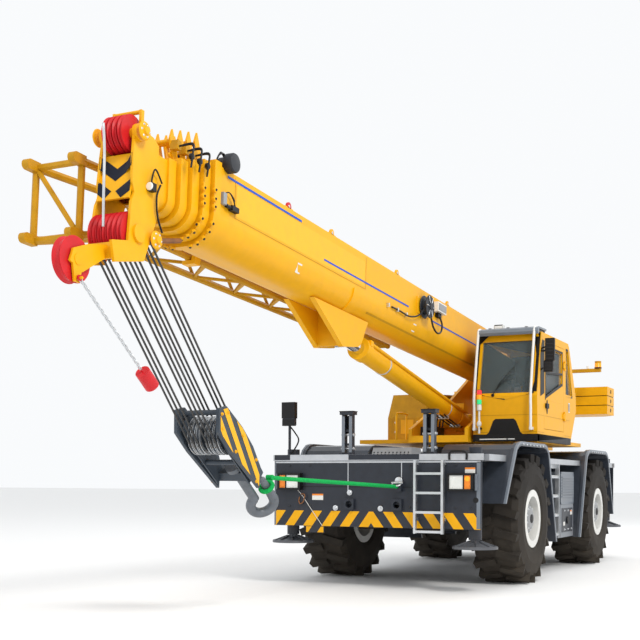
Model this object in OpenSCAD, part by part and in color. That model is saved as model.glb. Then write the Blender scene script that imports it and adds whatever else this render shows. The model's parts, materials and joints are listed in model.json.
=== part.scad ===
// Rough terrain crane, in millimetres. X points forward, Y to the cab's side, Z up.
// Pieces are drawn about the slewing axis and then moved, so that the box is centred on the origin.

/* [Wheels] */
// Distance between the two axles
wheelbase = 4100; // [3700:50:4500]
// Width over the outer faces of the tyres
overall_w = 3180; // [3000:20:3400]
// Outer diameter of a tyre over its lugs
tyre_d = 1750; // [1550:10:1900]
// Width of a tyre
tyre_w = 675; // [560:5:720]
// Depth of the lugs
lug_h = 45; // [20:5:60]
// Diameter over the flanges of a rim
rim_d = 787; // [700:1:850]
// Width of a rim over its flanges
rim_w = 610; // [480:10:640]
// Largest steering angle to either side
steer_max = 24; // [15:1:30]
// Diameter of the steering kingpins
kingpin_d = 80; // [60:5:110]
// Diameter of the wheel spindles
spindle_d = 200; // [150:10:240]

/* [Carrier] */
// Distance from the slewing axis to the front plate
front_x = 3900; // [3800:20:4200]
// Distance from the slewing axis to the rear plate
rear_x = 3950; // [3850:20:4300]
// Half of the deck's width
deck_hw = 1450; // [1350:10:1500]
// Depth of the deck with its bright edge
deck_t = 80; // [50:5:110]
// Thickness of the plates of the chassis
rail_t = 60; // [30:5:90]
// Free height between a tyre and its fender
fender_gap = 100; // [70:5:160]
// Thickness of a fender
fender_t = 30; // [15:5:45]
// Height of the fenders above the deck
fender_rise = 160; // [120:10:220]
// Height of the belly above the ground
belly_z = 640; // [520:20:720]

/* [Outriggers] */
// Width of an outrigger beam
beam_w = 170; // [120:10:180]
// Height of an outrigger beam
beam_h = 290; // [200:10:320]
// Outer diameter of a jack's barrel
jack_d = 165; // [130:5:180]
// Diameter of a jack's rod
jack_rod_d = 110; // [80:5:130]
// Distance from the middle plane to a jack when the beam is in
jack_y = 1310; // [1250:10:1360]
// Diameter of a float
float_d = 560; // [400:10:600]

/* [Superstructure] */
// Free height between the fenders and the superstructure
turret_gap = 70; // [40:5:120]
// Outer diameter of the slewing bearing
bearing_d = 1560; // [1300:20:1700]
// Distance between the two boom plates
plate_gap = 820; // [800:10:900]
// Thickness of a boom plate
plate_t = 50; // [30:5:70]
// Distance from the slewing axis back to the boom's foot pin
pivot_back = 1350; // [1200:10:1500]
// Height of the boom's foot pin above the turntable
pivot_h = 1000; // [950:10:1100]
// Diameter of the boom's foot pin
pivot_d = 160; // [120:5:200]
// Distance from the slewing axis back to the counterweight's tail
tail_x = 4100; // [3950:20:4300]
// Length of the counterweight
ballast_l = 800; // [600:20:900]
// Height of the counterweight's underside above the turntable
ballast_up = 650; // [560:10:800]
// Height of the counterweight
ballast_h = 510; // [400:10:600]
// Half of the counterweight's width
ballast_hw = 1450; // [1200:10:1500]
// Diameter of a winch drum
drum_d = 420; // [320:10:460]
// Diameter of a winch drum's flanges
flange_d = 540; // [460:10:560]

/* [Cab] */
// Distance from the middle plane to the cab's inner side
cab_y0 = 500; // [490:5:560]
// Width of the cab
cab_w = 950; // [850:10:980]
// Height of the cab
cab_h = 1520; // [1400:10:1650]
// Thickness of the cab's walls and door
cab_t = 50; // [30:5:70]
// Thickness of the windows
glass_t = 6; // [4:1:12]
// Running gap around the door
door_gap = 6; // [3:1:10]

/* [Boom] */
// Angle of the boom as it stands
boom_rest = 3.6; // [0:0.1:6]
// Half of the base section's width
boom_hw = 310; // [300:5:340]
// Height of the base section
boom_h = 730; // [700:10:760]
// Depth from the foot pin down to the base section's underside
boom_drop = 25; // [15:5:40]
// Length of the base section in front of the foot pin
boom_l = 9700; // [9500:10:9900]
// Length of the base section behind the foot pin
boom_heel = 450; // [380:10:500]
// Thickness of the boom's plates
boom_t = 12; // [8:1:20]
// Radius of the boom's lower corners
boom_r = 260; // [220:10:280]
// Step in half width from one section to the next
boom_step = 35; // [30:1:38]
// Length by which each section stands out of the one before
collar_l = 130; // [110:5:150]

/* [Lift cylinder] */
// Distance in front of the slewing axis of the cylinder's foot pin
foot_x = 350; // [250:10:450]
// Height of the cylinder's foot pin above the turntable
foot_h = 340; // [320:5:370]
// Distance along the boom from its foot pin to the rod's eye
eye_u = 6200; // [6000:10:6400]
// Depth of the rod's eye below the boom's foot pin
eye_w = 240; // [220:2:280]
// Outer diameter of the barrel
lift_d = 250; // [230:5:280]
// Diameter of the rod
lift_rod_d = 170; // [140:5:175]
// Diameter of the cylinder's pins
lift_pin_d = 120; // [90:5:140]

/* [Boom head] */
// Radius of the lower sheaves
sheave_r = 190; // [160:5:200]
// Radius of the upper sheaves
top_sheave_r = 160; // [140:5:170]
// Radius of the nose sheave
nose_r = 186; // [150:2:190]
// Half of the width over the head plates at their lower edge
head_hw = 215; // [205:5:230]
// Thickness of a head plate
head_t = 25; // [15:1:35]

/* [Hook block] */
// Distance between the sheaves of the head and of the block
rope_l = 2200; // [1800:50:2400]
// Lean of the ropes from the vertical
rope_lean = 43; // [38:1:50]
// Lean of the block from the vertical
block_lean = 46; // [40:1:52]
// Diameter of the hoist rope
rope_d = 20; // [16:1:22]
// Half of the block's width
block_hw = 250; // [235:5:280]
// Diameter of the hook's shank
shank_d = 100; // [80:5:110]
// Diameter of the tie-back sling
sling_d = 46; // [30:2:60]

/* [Stowed jib] */
// Length of the jib from its root frame to its tip
jib_l = 6800; // [6400:100:7000]
// Width of the jib's root frame
jib_w = 500; // [420:10:560]
// Height of the jib's root frame
jib_h = 650; // [560:10:700]
// Diameter of the jib's chords
chord_d = 76; // [60:2:90]

/* [Fits] */
// Clearance of sliding pads and of flat pieces beside each other
fit = 0.3; // [0.1:0.1:0.6]
// Radial clearance of a pin in its bore
pin_fit = 0.08; // [0.02:0.02:0.1]

/* [Hidden] */
$fn = 48;
SIDES = [1, -1];

axle_x = wheelbase / 2;
wheel_r = tyre_d / 2;
wheel_y = (overall_w - tyre_w) / 2;
tyre_in = overall_w / 2 - tyre_w;
kingpin_y = tyre_in + 35;
// corner, sign along X, sign along Y
CORNERS = [["fl", 1, 1], ["fr", 1, -1], ["rl", -1, 1], ["rr", -1, -1]];

// The chassis is as narrow as the steered tyres need.
frame_hw = kingpin_y - wheel_r * sin(steer_max) - 60;
fender_top = tyre_d + fender_gap + fender_t;
deck_top = fender_top - fender_rise;
deck_z = deck_top - deck_t;
frame_top = deck_z - 80;
arch_z = wheel_r + 300;
plate_th = 20;
box_z = deck_z - 690;
beam_z = box_z + 160;
// The two beams of an axle lie side by side in one box.
box_wall = 15;
box_gap = 12;
box_w = 2 * beam_w + 3 * box_gap + 2 * box_wall;
box_out = jack_y - jack_d / 2 - 25;
jack_top = deck_top + 80;
// A jack's rod ends under the deck.
rod_top = deck_z - 30;
float_z = 550;
float_h = 60;

turret_z = fender_top + turret_gap;
ring_top = turret_z - 45;
plate_in = plate_gap / 2;
plate_out = plate_in + plate_t;
pivot = [-pivot_back, 0, turret_z + pivot_h];
foot = [foot_x, 0, turret_z + foot_h];
floor_t = 100;

boom_top = boom_h - boom_drop;
head_u = boom_l + 4 * collar_l;
lower_axle = [head_u + 430, -200];
upper_axle = [head_u + 420, 660];
nose_axle = [head_u + 1060, -560];
nose_y = 40;
shaft_d = 90;
sheave_pitch = 49;
sheave_w = 40;

function turn(v, a) = [v[0] * cos(a) - v[1] * sin(a), v[0] * sin(a) + v[1] * cos(a)];
// Place on the vehicle of a point u along and w across the boom
function boom_at(u, w) = pivot + [turn([u, w], boom_rest)[0], 0, turn([u, w], boom_rest)[1]];
eye = boom_at(eye_u, -eye_w);
lift_l = norm(eye - foot);
lift_angle = atan2(eye[2] - foot[2], eye[0] - foot[0]);

front_reach = boom_at(nose_axle[0], nose_axle[1])[0] + nose_r;
shift_x = (front_reach - tail_x) / 2;

// Outline moved inward by t, for a convex outline given counterclockwise
function unit(v) = v / norm(v);
function inward(a, b) = let(d = unit(b - a)) [-d[1], d[0]];
function inset(p, t) = [for (i = [0 : len(p) - 1]) let(
    m = inward(p[(i + len(p) - 1) % len(p)], p[i]),
    n = inward(p[i], p[(i + 1) % len(p)])
) p[i] + (m + n) * t / (1 + m * n)];

// Moves a child drawn about the slewing axis to its place in the part.
module placed() { translate([-shift_x, 0, 0]) children(); }
// Extrudes an outline given in X and Z from y0 to y1.
module side_plate(y0, y1) { translate([0, y1, 0]) rotate([90, 0, 0]) linear_extrude(y1 - y0) children(); }
// Draws a child on both sides of the vehicle.
module both() { for (s = SIDES) scale_y(s) children(); }
module scale_y(s) { if (s > 0) children(); else mirror([0, 1, 0]) children(); }
// Cylinder along Y, centred on y
module cross_bar(r, l, y = 0)
    { translate([0, y, 0]) rotate([90, 0, 0]) cylinder(r = r, h = l, center = true); }
// Cylinder along Y from y0 to y1
module span_bar(r, y0, y1) { cross_bar(r, y1 - y0, (y0 + y1) / 2); }
// Straight round bar between two points
module bar(a, b, d, n = 24) {
    v = b - a;
    translate(a) rotate([0, acos(v[2] / norm(v)), atan2(v[1], v[0])]) cylinder(d = d, h = norm(v), $fn = n);
}
// Box between two corners
module block(a, b) { translate(a) cube(b - a); }
// Draws a child with its X along the boom and its Z across it, from the foot pin.
module on_boom() { translate(pivot) rotate([0, -boom_rest, 0]) children(); }

// Carrier

module rail_outline() {
    polygon([
        [-rear_x, box_z], [-axle_x - 700, box_z], [-axle_x - 450, arch_z], [-axle_x + 500, arch_z],
        [-axle_x + 800, belly_z], [axle_x - 800, belly_z], [axle_x - 500, arch_z], [axle_x + 450, arch_z],
        [axle_x + 700, box_z], [front_x, box_z], [front_x, frame_top], [-rear_x, frame_top]
    ]);
}

// Housing of two outrigger beams, its middle at x
module outrigger_box(x) {
    difference() {
        block([x - box_w / 2, -box_out, beam_z - box_gap - box_wall],
              [x + box_w / 2, box_out, beam_z + beam_h + box_gap + box_wall]);
        for (s = SIDES)
            block([x + s * (beam_w + box_gap) / 2 - beam_w / 2 - box_gap / 2, -box_out - 1, beam_z - box_gap],
                  [x + s * (beam_w + box_gap) / 2 + beam_w / 2 + box_gap / 2, box_out + 1,
                   beam_z + beam_h + box_gap]);
    }
    // Sliding pads under and over each beam at both mouths of the housing
    for (s = SIDES, e = SIDES)
        for (z = [[beam_z - box_gap - 1, beam_z - fit],
                  [beam_z + beam_h + fit, beam_z + beam_h + box_gap + 1]])
            block([x + s * (beam_w + box_gap) / 2 - beam_w / 2 + 20, e * (box_out - 70) - 60, z[0]],
                  [x + s * (beam_w + box_gap) / 2 + beam_w / 2 - 20, e * (box_out - 70) + 60, z[1]]);
}

front_box_x = front_x - box_w / 2;
rear_box_x = -rear_x + box_w / 2;

module chassis() {
    color("#39424f") placed() {
        both() side_plate(frame_hw - rail_t, frame_hw) difference() {
            rail_outline();
            for (x = [front_box_x, rear_box_x])
                translate([x - box_w / 2 - (x < 0 ? 1 : 0), beam_z - box_gap - box_wall])
                    square([box_w + 1, beam_h + 2 * box_gap + 2 * box_wall]);
        }
        // Belly and top plates of the middle, with the slewing bearing's seat
        block([-axle_x + 800, rail_t - frame_hw, belly_z], [axle_x - 800, frame_hw - rail_t, belly_z + 40]);
        block([-axle_x + 500, rail_t - frame_hw, frame_top - 40],
              [axle_x + 450, frame_hw - rail_t, frame_top]);
        for (x = [-axle_x + 780, axle_x - 820]) difference() {
            block([x, rail_t - frame_hw, belly_z], [x + 40, frame_hw - rail_t, frame_top]);
            translate([x - 1, 0, wheel_r]) rotate([0, 90, 0]) cylinder(d = 220, h = 42);
        }
        difference() {
            translate([0, 0, frame_top - 5])
                cylinder(d = bearing_d, h = ring_top - fit - frame_top + 5, $fn = 96);
            translate([0, 0, frame_top - 50]) cylinder(d = bearing_d - 420, h = 600, $fn = 96);
        }
        // Spring pads between the chassis and the axles
        for (x = [-axle_x, axle_x], s = SIDES)
            block([x - 110, s * (frame_hw - rail_t / 2) - rail_t / 2, wheel_r + 130 + fit],
                  [x + 110, s * (frame_hw - rail_t / 2) + rail_t / 2, arch_z + 10]);
    }
}
module outrigger_boxes() {
    color("#39424f") placed() {
        outrigger_box(front_box_x);
        outrigger_box(rear_box_x);
    }
}
module end_plates() {
    color("#39424f") placed() for (e = [[front_x, 1], [-rear_x, -1]])
        scale_x(e[1]) translate([abs(e[0]), 0, 0]) end_plate();
}
module scale_x(s) { if (s > 0) children(); else mirror([1, 0, 0]) children(); }
// Lower edge of the end plates
plate_z = box_z - 160;
module end_plate() {
    difference() {
        block([0, -deck_hw + 20, plate_z], [plate_th, deck_hw - 20, deck_z - fit]);
        for (s = SIDES) translate([0, s * 330, box_z + 130]) rotate([0, 90, 0])
            cylinder(d = 90, h = 80, center = true);
    }
    block([0, -960, plate_z - 85], [plate_th, -700, plate_z + 1]);
    for (s = SIDES) difference() {
        block([plate_th - 1, s * 330 - 70, box_z + 60], [plate_th + 40, s * 330 + 70, box_z + 200]);
        translate([0, s * 330, box_z + 130]) rotate([0, 90, 0]) cylinder(d = 90, h = 200, center = true);
    }
}

arch_half = 845;
fender_y = deck_hw + 110;
lip_t = 25;
// Foot of a fender's outer and middle leg, from its axle
leg_out = 1270;
leg_in = 1280;
// Distance from the axle to a fender's leg at the height of the deck's underside
function leg_at(foot_l, foot_z) = arch_half + (foot_l - arch_half) * (fender_top - 150 - deck_z)
    / (fender_top - 150 - foot_z);
deck_in = axle_x - leg_at(leg_in, 500) - 3;
function deck_out(foot_z) = axle_x + leg_at(leg_out, foot_z) + 3;
module decks() {
    color("#b9bec2") placed() difference() {
        union() {
            block([-deck_in, -deck_hw, deck_z], [deck_in, deck_hw, deck_top]);
            block([-rear_x, fit - frame_hw, deck_z], [front_x, frame_hw - fit, deck_top]);
            block([deck_out(FENDERS[0][1]), -deck_hw, deck_z], [front_x + plate_th, deck_hw, deck_top]);
            block([-rear_x - plate_th, -deck_hw, deck_z], [-deck_out(FENDERS[1][1]), deck_hw, deck_top]);
        }
        translate([0, 0, deck_z - 1]) cylinder(d = bearing_d + 20, h = deck_t + 2, $fn = 96);
        block([-rear_x + box_w, -410, deck_z - 1], [-axle_x - 420, 410, deck_top + 1]);
        for (x = [front_box_x, rear_box_x], s = SIDES)
            translate([x + s * sign(x) * (beam_w + box_gap) / 2, s * jack_y, deck_z - 1]) jack_slot(s);
    }
    color("#2d353f") placed() deck_props();
}
// Way out for a jack that slides outward past the deck
module jack_slot(s) {
    cylinder(d = jack_d + 60, h = deck_t + 2);
    block([-jack_d / 2 - 30, s > 0 ? 0 : -300, 0], [jack_d / 2 + 30, s > 0 ? 300 : 0, deck_t + 2]);
}
module deck_props() {
    for (x = [-900, 0, 900]) block([x - 40, frame_hw - 60, frame_top], [x + 40, frame_hw, deck_z]);
    for (x = [-900, 0, 900]) block([x - 40, -frame_hw, frame_top], [x + 40, -frame_hw + 60, deck_z]);
    for (x = [axle_x + 250, front_box_x, rear_box_x], s = SIDES)
        block([x - 40, s * (frame_hw - 30) - 30, frame_top], [x + 40, s * (frame_hw - 30) + 30, deck_z]);
}

// Outline of a fender about its axle; the middle leg points to -X.
// Each point has the sides that it is thick to.
module fender_shape(end_z, out) {
    line = [
        [leg_out, end_z, 1, 0], [arch_half, fender_top - 150, 1, 0.3],
            [arch_half - 45, fender_top - 80, 0.8, 0.5],
        [arch_half - 150, fender_top - 18, 0.5, 0.9], [arch_half - 260, fender_top, 0.3, 1],
        [260 - arch_half, fender_top, -0.3, 1], [150 - arch_half, fender_top - 18, -0.5, 0.9],
        [45 - arch_half, fender_top - 80, -0.8, 0.5],
        [-arch_half, fender_top - 150, -1, 0.3], [-leg_in, 500, -1, 0]
    ];
    function moved(p, d) = [p[0] + d * p[2], p[1] + d * p[3]];
    polygon(concat([for (p = line) moved(p, out)],
                   [for (i = [len(line) - 1 : -1 : 0]) moved(line[i], -fender_t)]));
}
// end of the vehicle, lower edge of its outer leg
FENDERS = [[1, 1100], [-1, 800]];
module fenders() {
    color("#2f3742") placed() for (f = FENDERS, s = SIDES)
        scale_x(f[0]) scale_y(s) translate([axle_x, 0, 0])
            {
                side_plate(frame_hw, fender_y) fender_shape(f[1], 0);
                side_plate(fender_y - 70, fender_y) fender_shape(f[1], lip_t);
            }
}

// Half of the room between the chassis' plates, and of the engine and gears in it
bay_hw = frame_hw - rail_t;
gear_hw = bay_hw / 2;
engine_hw = bay_hw * 0.75;
module axle_shape() {
    cross_bar(115, 2 * kingpin_y - 300);
    rotate([0, 90, 0]) cylinder(r = gear_hw, h = 300, center = true);
    both() {
        block([-130, frame_hw - rail_t - 60, 90], [130, frame_hw + 20, 130]);
        difference() {
            union() {
                for (z = [-1, 1]) translate([0, kingpin_y, z * 165]) cylinder(r = 80, h = 50, center = true);
                for (z = [-1, 1]) block([-80, kingpin_y - 175, z * 165 - 25], [80, kingpin_y, z * 165 + 25]);
                block([-80, kingpin_y - 200, -190], [80, kingpin_y - 120, 190]);
            }
            translate([0, kingpin_y, 0]) cylinder(d = kingpin_d + 2 * pin_fit, h = 500, center = true);
        }
        // Steering cylinder
        translate([-210, 0, 0]) rotate([-90, 0, 0]) cylinder(d = 90, h = kingpin_y - 330);
        block([-230, 150, -40], [-60, 200, 40]);
    }
}
module axles() {
    color("#4a4f55") placed() {
        for (e = SIDES) scale_x(e) translate([axle_x, 0, wheel_r]) axle_shape();
        // Gearbox and the shafts to both axles
        block([-450, -gear_hw, wheel_r - 130], [250, gear_hw, wheel_r + 230]);
        for (a = [[-axle_x + 140, -440], [240, axle_x - 140]])
            bar([a[0], 0, wheel_r], [a[1], 0, wheel_r], 110);
        for (s = SIDES) block([-200, s > 0 ? gear_hw - 1 : -bay_hw, wheel_r + 40],
                              [-100, s > 0 ? bay_hw : 1 - gear_hw, wheel_r + 120]);
    }
}

engine_front = -axle_x - 480;
engine_l = rear_x - axle_x - 1080;
module engine() {
    color("#5d6166") placed() {
        block([engine_front - engine_l, -engine_hw, arch_z + 60], [engine_front, engine_hw, deck_top - 60]);
        for (x = [engine_front - engine_l + 100, engine_front - 160], s = SIDES)
            block([x, s > 0 ? engine_hw - 1 : fit - bay_hw, arch_z + 90],
                  [x + 80, s > 0 ? bay_hw - fit : 1 - engine_hw, arch_z + 170]);
    }
}

box_hl = axle_x - 1280;
LOUVRES = 8;
module side_boxes() {
    color("#7d8489") placed() {
        // Tank with its cooler on the cab's side, fuel tank on the other
        block([-box_hl, frame_hw, 520], [60, deck_hw - 10, frame_top - 30]);
        block([-box_hl, -deck_hw + 10, 620], [box_hl, -frame_hw, frame_top - 30]);
        // Louvres of the cooler
        for (i = [0 : LOUVRES - 1])
            block([-box_hl + 60, deck_hw - 11, frame_top - 420 + i * 42],
                  [0, deck_hw + 6, frame_top - 398 + i * 42]);
    }
}

STEP_N = 4;
module steps() {
    color("#c8ccd0") placed() {
        // Ladder on the cab's side between the wheels
        for (x = [120, box_hl - 30]) block([x, deck_hw - 70, 520], [x + 30, deck_hw - 10, deck_z]);
        for (i = [0 : STEP_N - 1])
            block([149, deck_hw - 200, 560 + i * 290], [box_hl - 29, deck_hw - 20, 590 + i * 290]);
        block([120, bearing_d / 2 + 10, deck_z - 60], [box_hl, deck_hw - 60, deck_z]);
        // Ladder on the front plate
        for (y = [600, 960])
            block([front_x + plate_th, y - 15, box_z - 60], [front_x + plate_th + 110, y + 15, box_z - 20]);
        for (y = [600, 960])
            block([front_x + plate_th + 60, y - 15, box_z - 220], [front_x + plate_th + 110, y + 15, deck_z]);
        for (y = [600, 960])
            block([front_x + plate_th, y - 15, deck_z - 60], [front_x + plate_th + 110, y + 15, deck_z]);
        for (i = [0 : STEP_N - 1])
            block([front_x + plate_th + 60, 600, box_z - 210 + i * 240],
                  [front_x + plate_th + 110, 960, box_z - 180 + i * 240]);
    }
}

module lamps() {
    color("#e8e4d8") placed() for (e = SIDES, s = SIDES)
        scale_x(e) scale_y(s) translate([(e > 0 ? front_x : rear_x) + plate_th, 1180, deck_z - 270]) {
            block([0, -140, -85], [70, 140, 85]);
        }
}

module front_fittings() {
    color("#3b4046") placed() {
        // Folding posts on the front deck
        for (y = [-430, 700]) {
            for (s = SIDES)
                block([front_x - 190, y + s * 52 - 20, deck_top + 14],
                      [front_x - 100, y + s * 52 + 20, deck_top + 520]);
            for (z = [120, 300])
                block([front_x - 160, y - 33, deck_top + z], [front_x - 130, y + 33, deck_top + z + 30]);
            block([front_x - 210, y - 95, deck_top + 519], [front_x - 80, y + 95, deck_top + 560]);
            block([front_x - 230, y - 90, deck_top], [front_x - 60, y + 90, deck_top + 15]);
        }
        // Shackle of the tie-back sling
        block([front_x + plate_th, sling_1[1] - 50, sling_1[2] - 60],
              [sling_1[0] - sling_d / 2, sling_1[1] + 50, sling_1[2] + 60]);
        // Mirror on its post
        bar([front_x - 120, -1280, deck_top], [front_x - 120, -1280, deck_top + 420], 36);
        block([front_x - 140, -1370, deck_top + 400], [front_x - 80, -1190, deck_top + 700]);
    }
}

// Wheels and steering

module knuckle(c) {
    color("#565b60") placed() translate([c[1] * axle_x, c[2] * kingpin_y, wheel_r]) scale_y(c[2]) {
        cylinder(d = kingpin_d, h = 376, center = true);
        cylinder(r = 105, h = 278, center = true);
        rotate([-90, 0, 0]) cylinder(d = 250, h = wheel_y - kingpin_y - 120);
        rotate([-90, 0, 0]) cylinder(d = spindle_d, h = wheel_y - kingpin_y + 100);
        scale_x(c[1]) block([-230, -60, -60], [-60, 20, -20]);
    }
}

tyre_hw = tyre_w / 2;
tread_hw = tyre_hw - 25;
tread_r = wheel_r - lug_h;
rim_seat = rim_d / 2 - 40;
LUGS = 18;
lug_w = 100;
lug_root = 130;
lug_slant = 15;
module tyre(c) {
    color("#1d1e20") placed() translate([c[1] * axle_x, c[2] * wheel_y, wheel_r]) rotate([90, 0, 0]) {
        rotate_extrude($fn = 72) {
            polygon([
                [rim_seat + fit, -rim_w / 2 + 25], [rim_d / 2 + 4, -rim_w / 2 + 12],
                    [rim_d / 2 + 60, -tyre_hw + 16],
                [wheel_r - 270, -tyre_hw], [wheel_r - 110, -tread_hw], [tread_r, -tread_hw + 70],
                [tread_r, tread_hw - 70], [wheel_r - 110, tread_hw], [wheel_r - 270, tyre_hw],
                [rim_d / 2 + 60, tyre_hw - 16], [rim_d / 2 + 4, rim_w / 2 - 12],
                    [rim_seat + fit, rim_w / 2 - 25]
            ]);
        }
        // Lugs, those of the outer side half a step from those of the inner side
        for (i = [0 : LUGS - 1], s = SIDES)
            rotate([0, 0, (i + (s * c[2] > 0 ? 0.5 : 0)) * 360 / LUGS + 90]) mirror([0, 0, s > 0 ? 0 : 1])
                translate([wheel_r - lug_root, 0, 15]) rotate([lug_slant, 0, 0])
                    translate([0, -lug_w / 2, 0]) cube([lug_root, lug_w, (tyre_hw - 35) / cos(lug_slant)]);
    }
}

rim_well = rim_seat - 20;
hub_face = 90;
module rim(c) {
    color("#e6e6e2") placed() translate([c[1] * axle_x, c[2] * wheel_y, wheel_r])
        rotate([c[2] > 0 ? -90 : 90, 0, 0])
        difference() {
            rotate_extrude($fn = 72) {
                polygon([
                    [rim_well - 30, -rim_w / 2], [rim_d / 2, -rim_w / 2], [rim_d / 2, -rim_w / 2 + 12],
                    [rim_seat, -rim_w / 2 + 24], [rim_seat, rim_w / 2 - 24], [rim_d / 2, rim_w / 2 - 12],
                    [rim_d / 2, rim_w / 2], [rim_well - 30, rim_w / 2], [rim_well - 30, hub_face + 24],
                    [205, hub_face + 24], [195, hub_face + 150], [120, hub_face + 190], [0, hub_face + 190],
                    [0, 0], [205, 0], [225, hub_face], [rim_well - 30, hub_face]
                ]);
            }
            translate([0, 0, -1]) cylinder(d = spindle_d + 2 * pin_fit, h = 101 + fit);
        }
}

// Outriggers

module beam(c) {
    box_x = c[1] > 0 ? front_box_x : rear_box_x;
    x = box_x + c[1] * c[2] * (beam_w + box_gap) / 2;
    color("#39424f") placed() translate([x, 0, 0]) scale_y(c[2]) difference() {
        union() {
            difference() {
                block([-beam_w / 2, -box_out + 40, beam_z], [beam_w / 2, jack_y - 30, beam_z + beam_h]);
                block([-beam_w / 2 + 14, -box_out + 39, beam_z + 14],
                      [beam_w / 2 - 14, jack_y - 120, beam_z + beam_h - 14]);
            }
            translate([0, jack_y, float_z + float_h + 50])
                cylinder(d = jack_d, h = jack_top - float_z - float_h - 50);
        }
        translate([0, jack_y, 0]) cylinder(d = jack_rod_d + 2 * pin_fit, h = jack_top - 30);
    }
}
module jack(c) {
    box_x = c[1] > 0 ? front_box_x : rear_box_x;
    x = box_x + c[1] * c[2] * (beam_w + box_gap) / 2;
    color("#9aa0a5") placed() translate([x, c[2] * jack_y, 0]) {
        translate([0, 0, float_z + 20]) cylinder(d = jack_rod_d, h = rod_top - float_z - 20);
        translate([0, 0, float_z]) cylinder(d = float_d, h = 26, $fn = 64);
        translate([0, 0, float_z + 25])
            cylinder(d1 = float_d - 50, d2 = jack_rod_d + 60, h = float_h - 10, $fn = 8);
    }
}

// Superstructure

plate_rear = tail_x - ballast_l;
module boom_plate_outline() {
    polygon([
        [-plate_rear, turret_z], [1560, turret_z], [1560, turret_z + 200], [foot_x + 420, foot[2] + 150],
        [foot_x - 300, foot[2] + 290], [pivot[0] + 330, pivot[2] + 120], [pivot[0] + 150, pivot[2] + 220],
        [pivot[0] - 180, pivot[2] + 220], [pivot[0] - 420, pivot[2] - 60],
            [pivot[0] - 780, turret_z + ballast_up],
        [-plate_rear, turret_z + ballast_up]
    ]);
}
module turret() {
    color("#e3a912") placed() difference() {
        union() {
            translate([0, 0, ring_top]) cylinder(d = bearing_d - 40, h = turret_z - ring_top + 1, $fn = 96);
            block([-plate_rear, -plate_out, turret_z], [1560, plate_out, turret_z + floor_t]);
            block([-1500, -cab_y0 - cab_w + 60, turret_z], [1250, cab_y0 + cab_w - 60, turret_z + 60]);
            both() side_plate(plate_in, plate_out) boom_plate_outline();
            translate(pivot) cross_bar(pivot_d / 2, 2 * plate_out - 20);
            translate(foot) cross_bar(lift_pin_d / 2, 2 * plate_out - 20);
            // Bosses that take up the room beside the boom's foot and the cylinder's foot
            both() translate(pivot) span_bar(150, boom_hw + 8 + fit, plate_in + 1);
            both() translate(foot) span_bar(110, lift_d / 2 + fit, plate_in + 1);
            // Cross wall behind the winches
            block([-plate_rear, -plate_out, turret_z + 99],
                  [-plate_rear + 40, plate_out, turret_z + ballast_up]);
        }
        translate([0, 0, ring_top - 1]) cylinder(d = 420, h = 400);
    }
}

SLABS = 3;
module counterweight() {
    z0 = turret_z + ballast_up;
    slab = ballast_h / SLABS;
    color("#e3a912") placed() {
        for (i = [0 : SLABS - 1])
            difference() {
                block([-tail_x, -ballast_hw, z0 + i * slab],
                      [-tail_x + ballast_l, ballast_hw, z0 + (i + 1) * slab - 14]);
                for (s = SIDES) translate([-tail_x, s * ballast_hw, z0 + i * slab - 1]) rotate([0, 0, 45])
                    cube([300, 300, slab * 3], center = true);
            }
        block([-tail_x + 60, -ballast_hw + 160, z0 + 1],
              [-tail_x + ballast_l - 40, ballast_hw - 160, z0 + ballast_h - 15]);
        block([-tail_x + ballast_l - 120, -plate_out, z0 - 200], [-tail_x + ballast_l, plate_out, z0 + 1]);
    }
}

hood_y = 1150;
beacon = [-2750, 1400, turret_z + 1420];
module turret_hood() {
    color("#d99d12") placed() {
        difference() {
            side_plate(-hood_y, -plate_out - 60)
                polygon([[-1450, turret_z + 60], [700, turret_z + 60], [700, turret_z + 420],
                         [480, turret_z + 800],
                         [-1450, turret_z + 900]]);
            side_plate(-hood_y + 40, -plate_out - 20)
                polygon([[-1410, turret_z + 59], [660, turret_z + 59], [660, turret_z + 400],
                         [460, turret_z + 762],
                         [-1410, turret_z + 860]]);
        }
        // Beacon behind the cab, on an arm from the boom plate
        block([beacon[0] - 40, plate_in + 5, turret_z + ballast_up],
              [beacon[0] + 40, plate_out - 5, beacon[2]]);
        block([beacon[0] - 40, plate_in + 5, beacon[2] - 60], [beacon[0] + 40, beacon[1] + 50, beacon[2]]);
        translate(beacon - [0, 0, 1]) cylinder(d = 110, h = 130);
    }
}

cab_z = turret_z + 60;
cab_top = cab_z + cab_h;
cab_y1 = cab_y0 + cab_w;
CAB = [
    [-540, cab_z], [1430, cab_z], [1460, cab_z + 600], [1240, cab_top], [-350, cab_top],
    [-420, cab_top - 60], [-870, cab_z + 720], [-890, cab_z + 500]
];
module cab_solid(t) {
    side_plate(cab_y0 + t, cab_y1 - t) polygon(inset(CAB, t));
}
module cab_walls() {
    difference() {
        cab_solid(0);
        cab_solid(cab_t);
    }
}
door_x0 = -80;
door_x1 = 1080;
door_z0 = cab_z + 130;
door_z1 = cab_top - 110;
module door_zone(g) {
    block([door_x0 + g, cab_y1 - cab_t - 60, door_z0 + g], [door_x1 - g, cab_y1 + 60, door_z1 - g]);
}
// Heights of the door's hinges, and their pins on the cab's wall
HINGES = [door_z0 + 200, door_z1 - 300];
hinge_d = 26;
hinge_pin_d = 12;
hinge_y = cab_y1 + hinge_d / 2 + 2;
module hinge_lugs() {
    for (z = HINGES) {
        translate([door_x0, hinge_y, z - 30]) cylinder(d = hinge_pin_d, h = 140);
        for (e = [z - 30, z + 80 + fit]) {
            translate([door_x0, hinge_y, e]) cylinder(d = hinge_d, h = 30 - fit);
            block([door_x0 - 70, cab_y1 - 1, e], [door_x0, hinge_y + 4, e + 30 - fit]);
        }
    }
}
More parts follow.
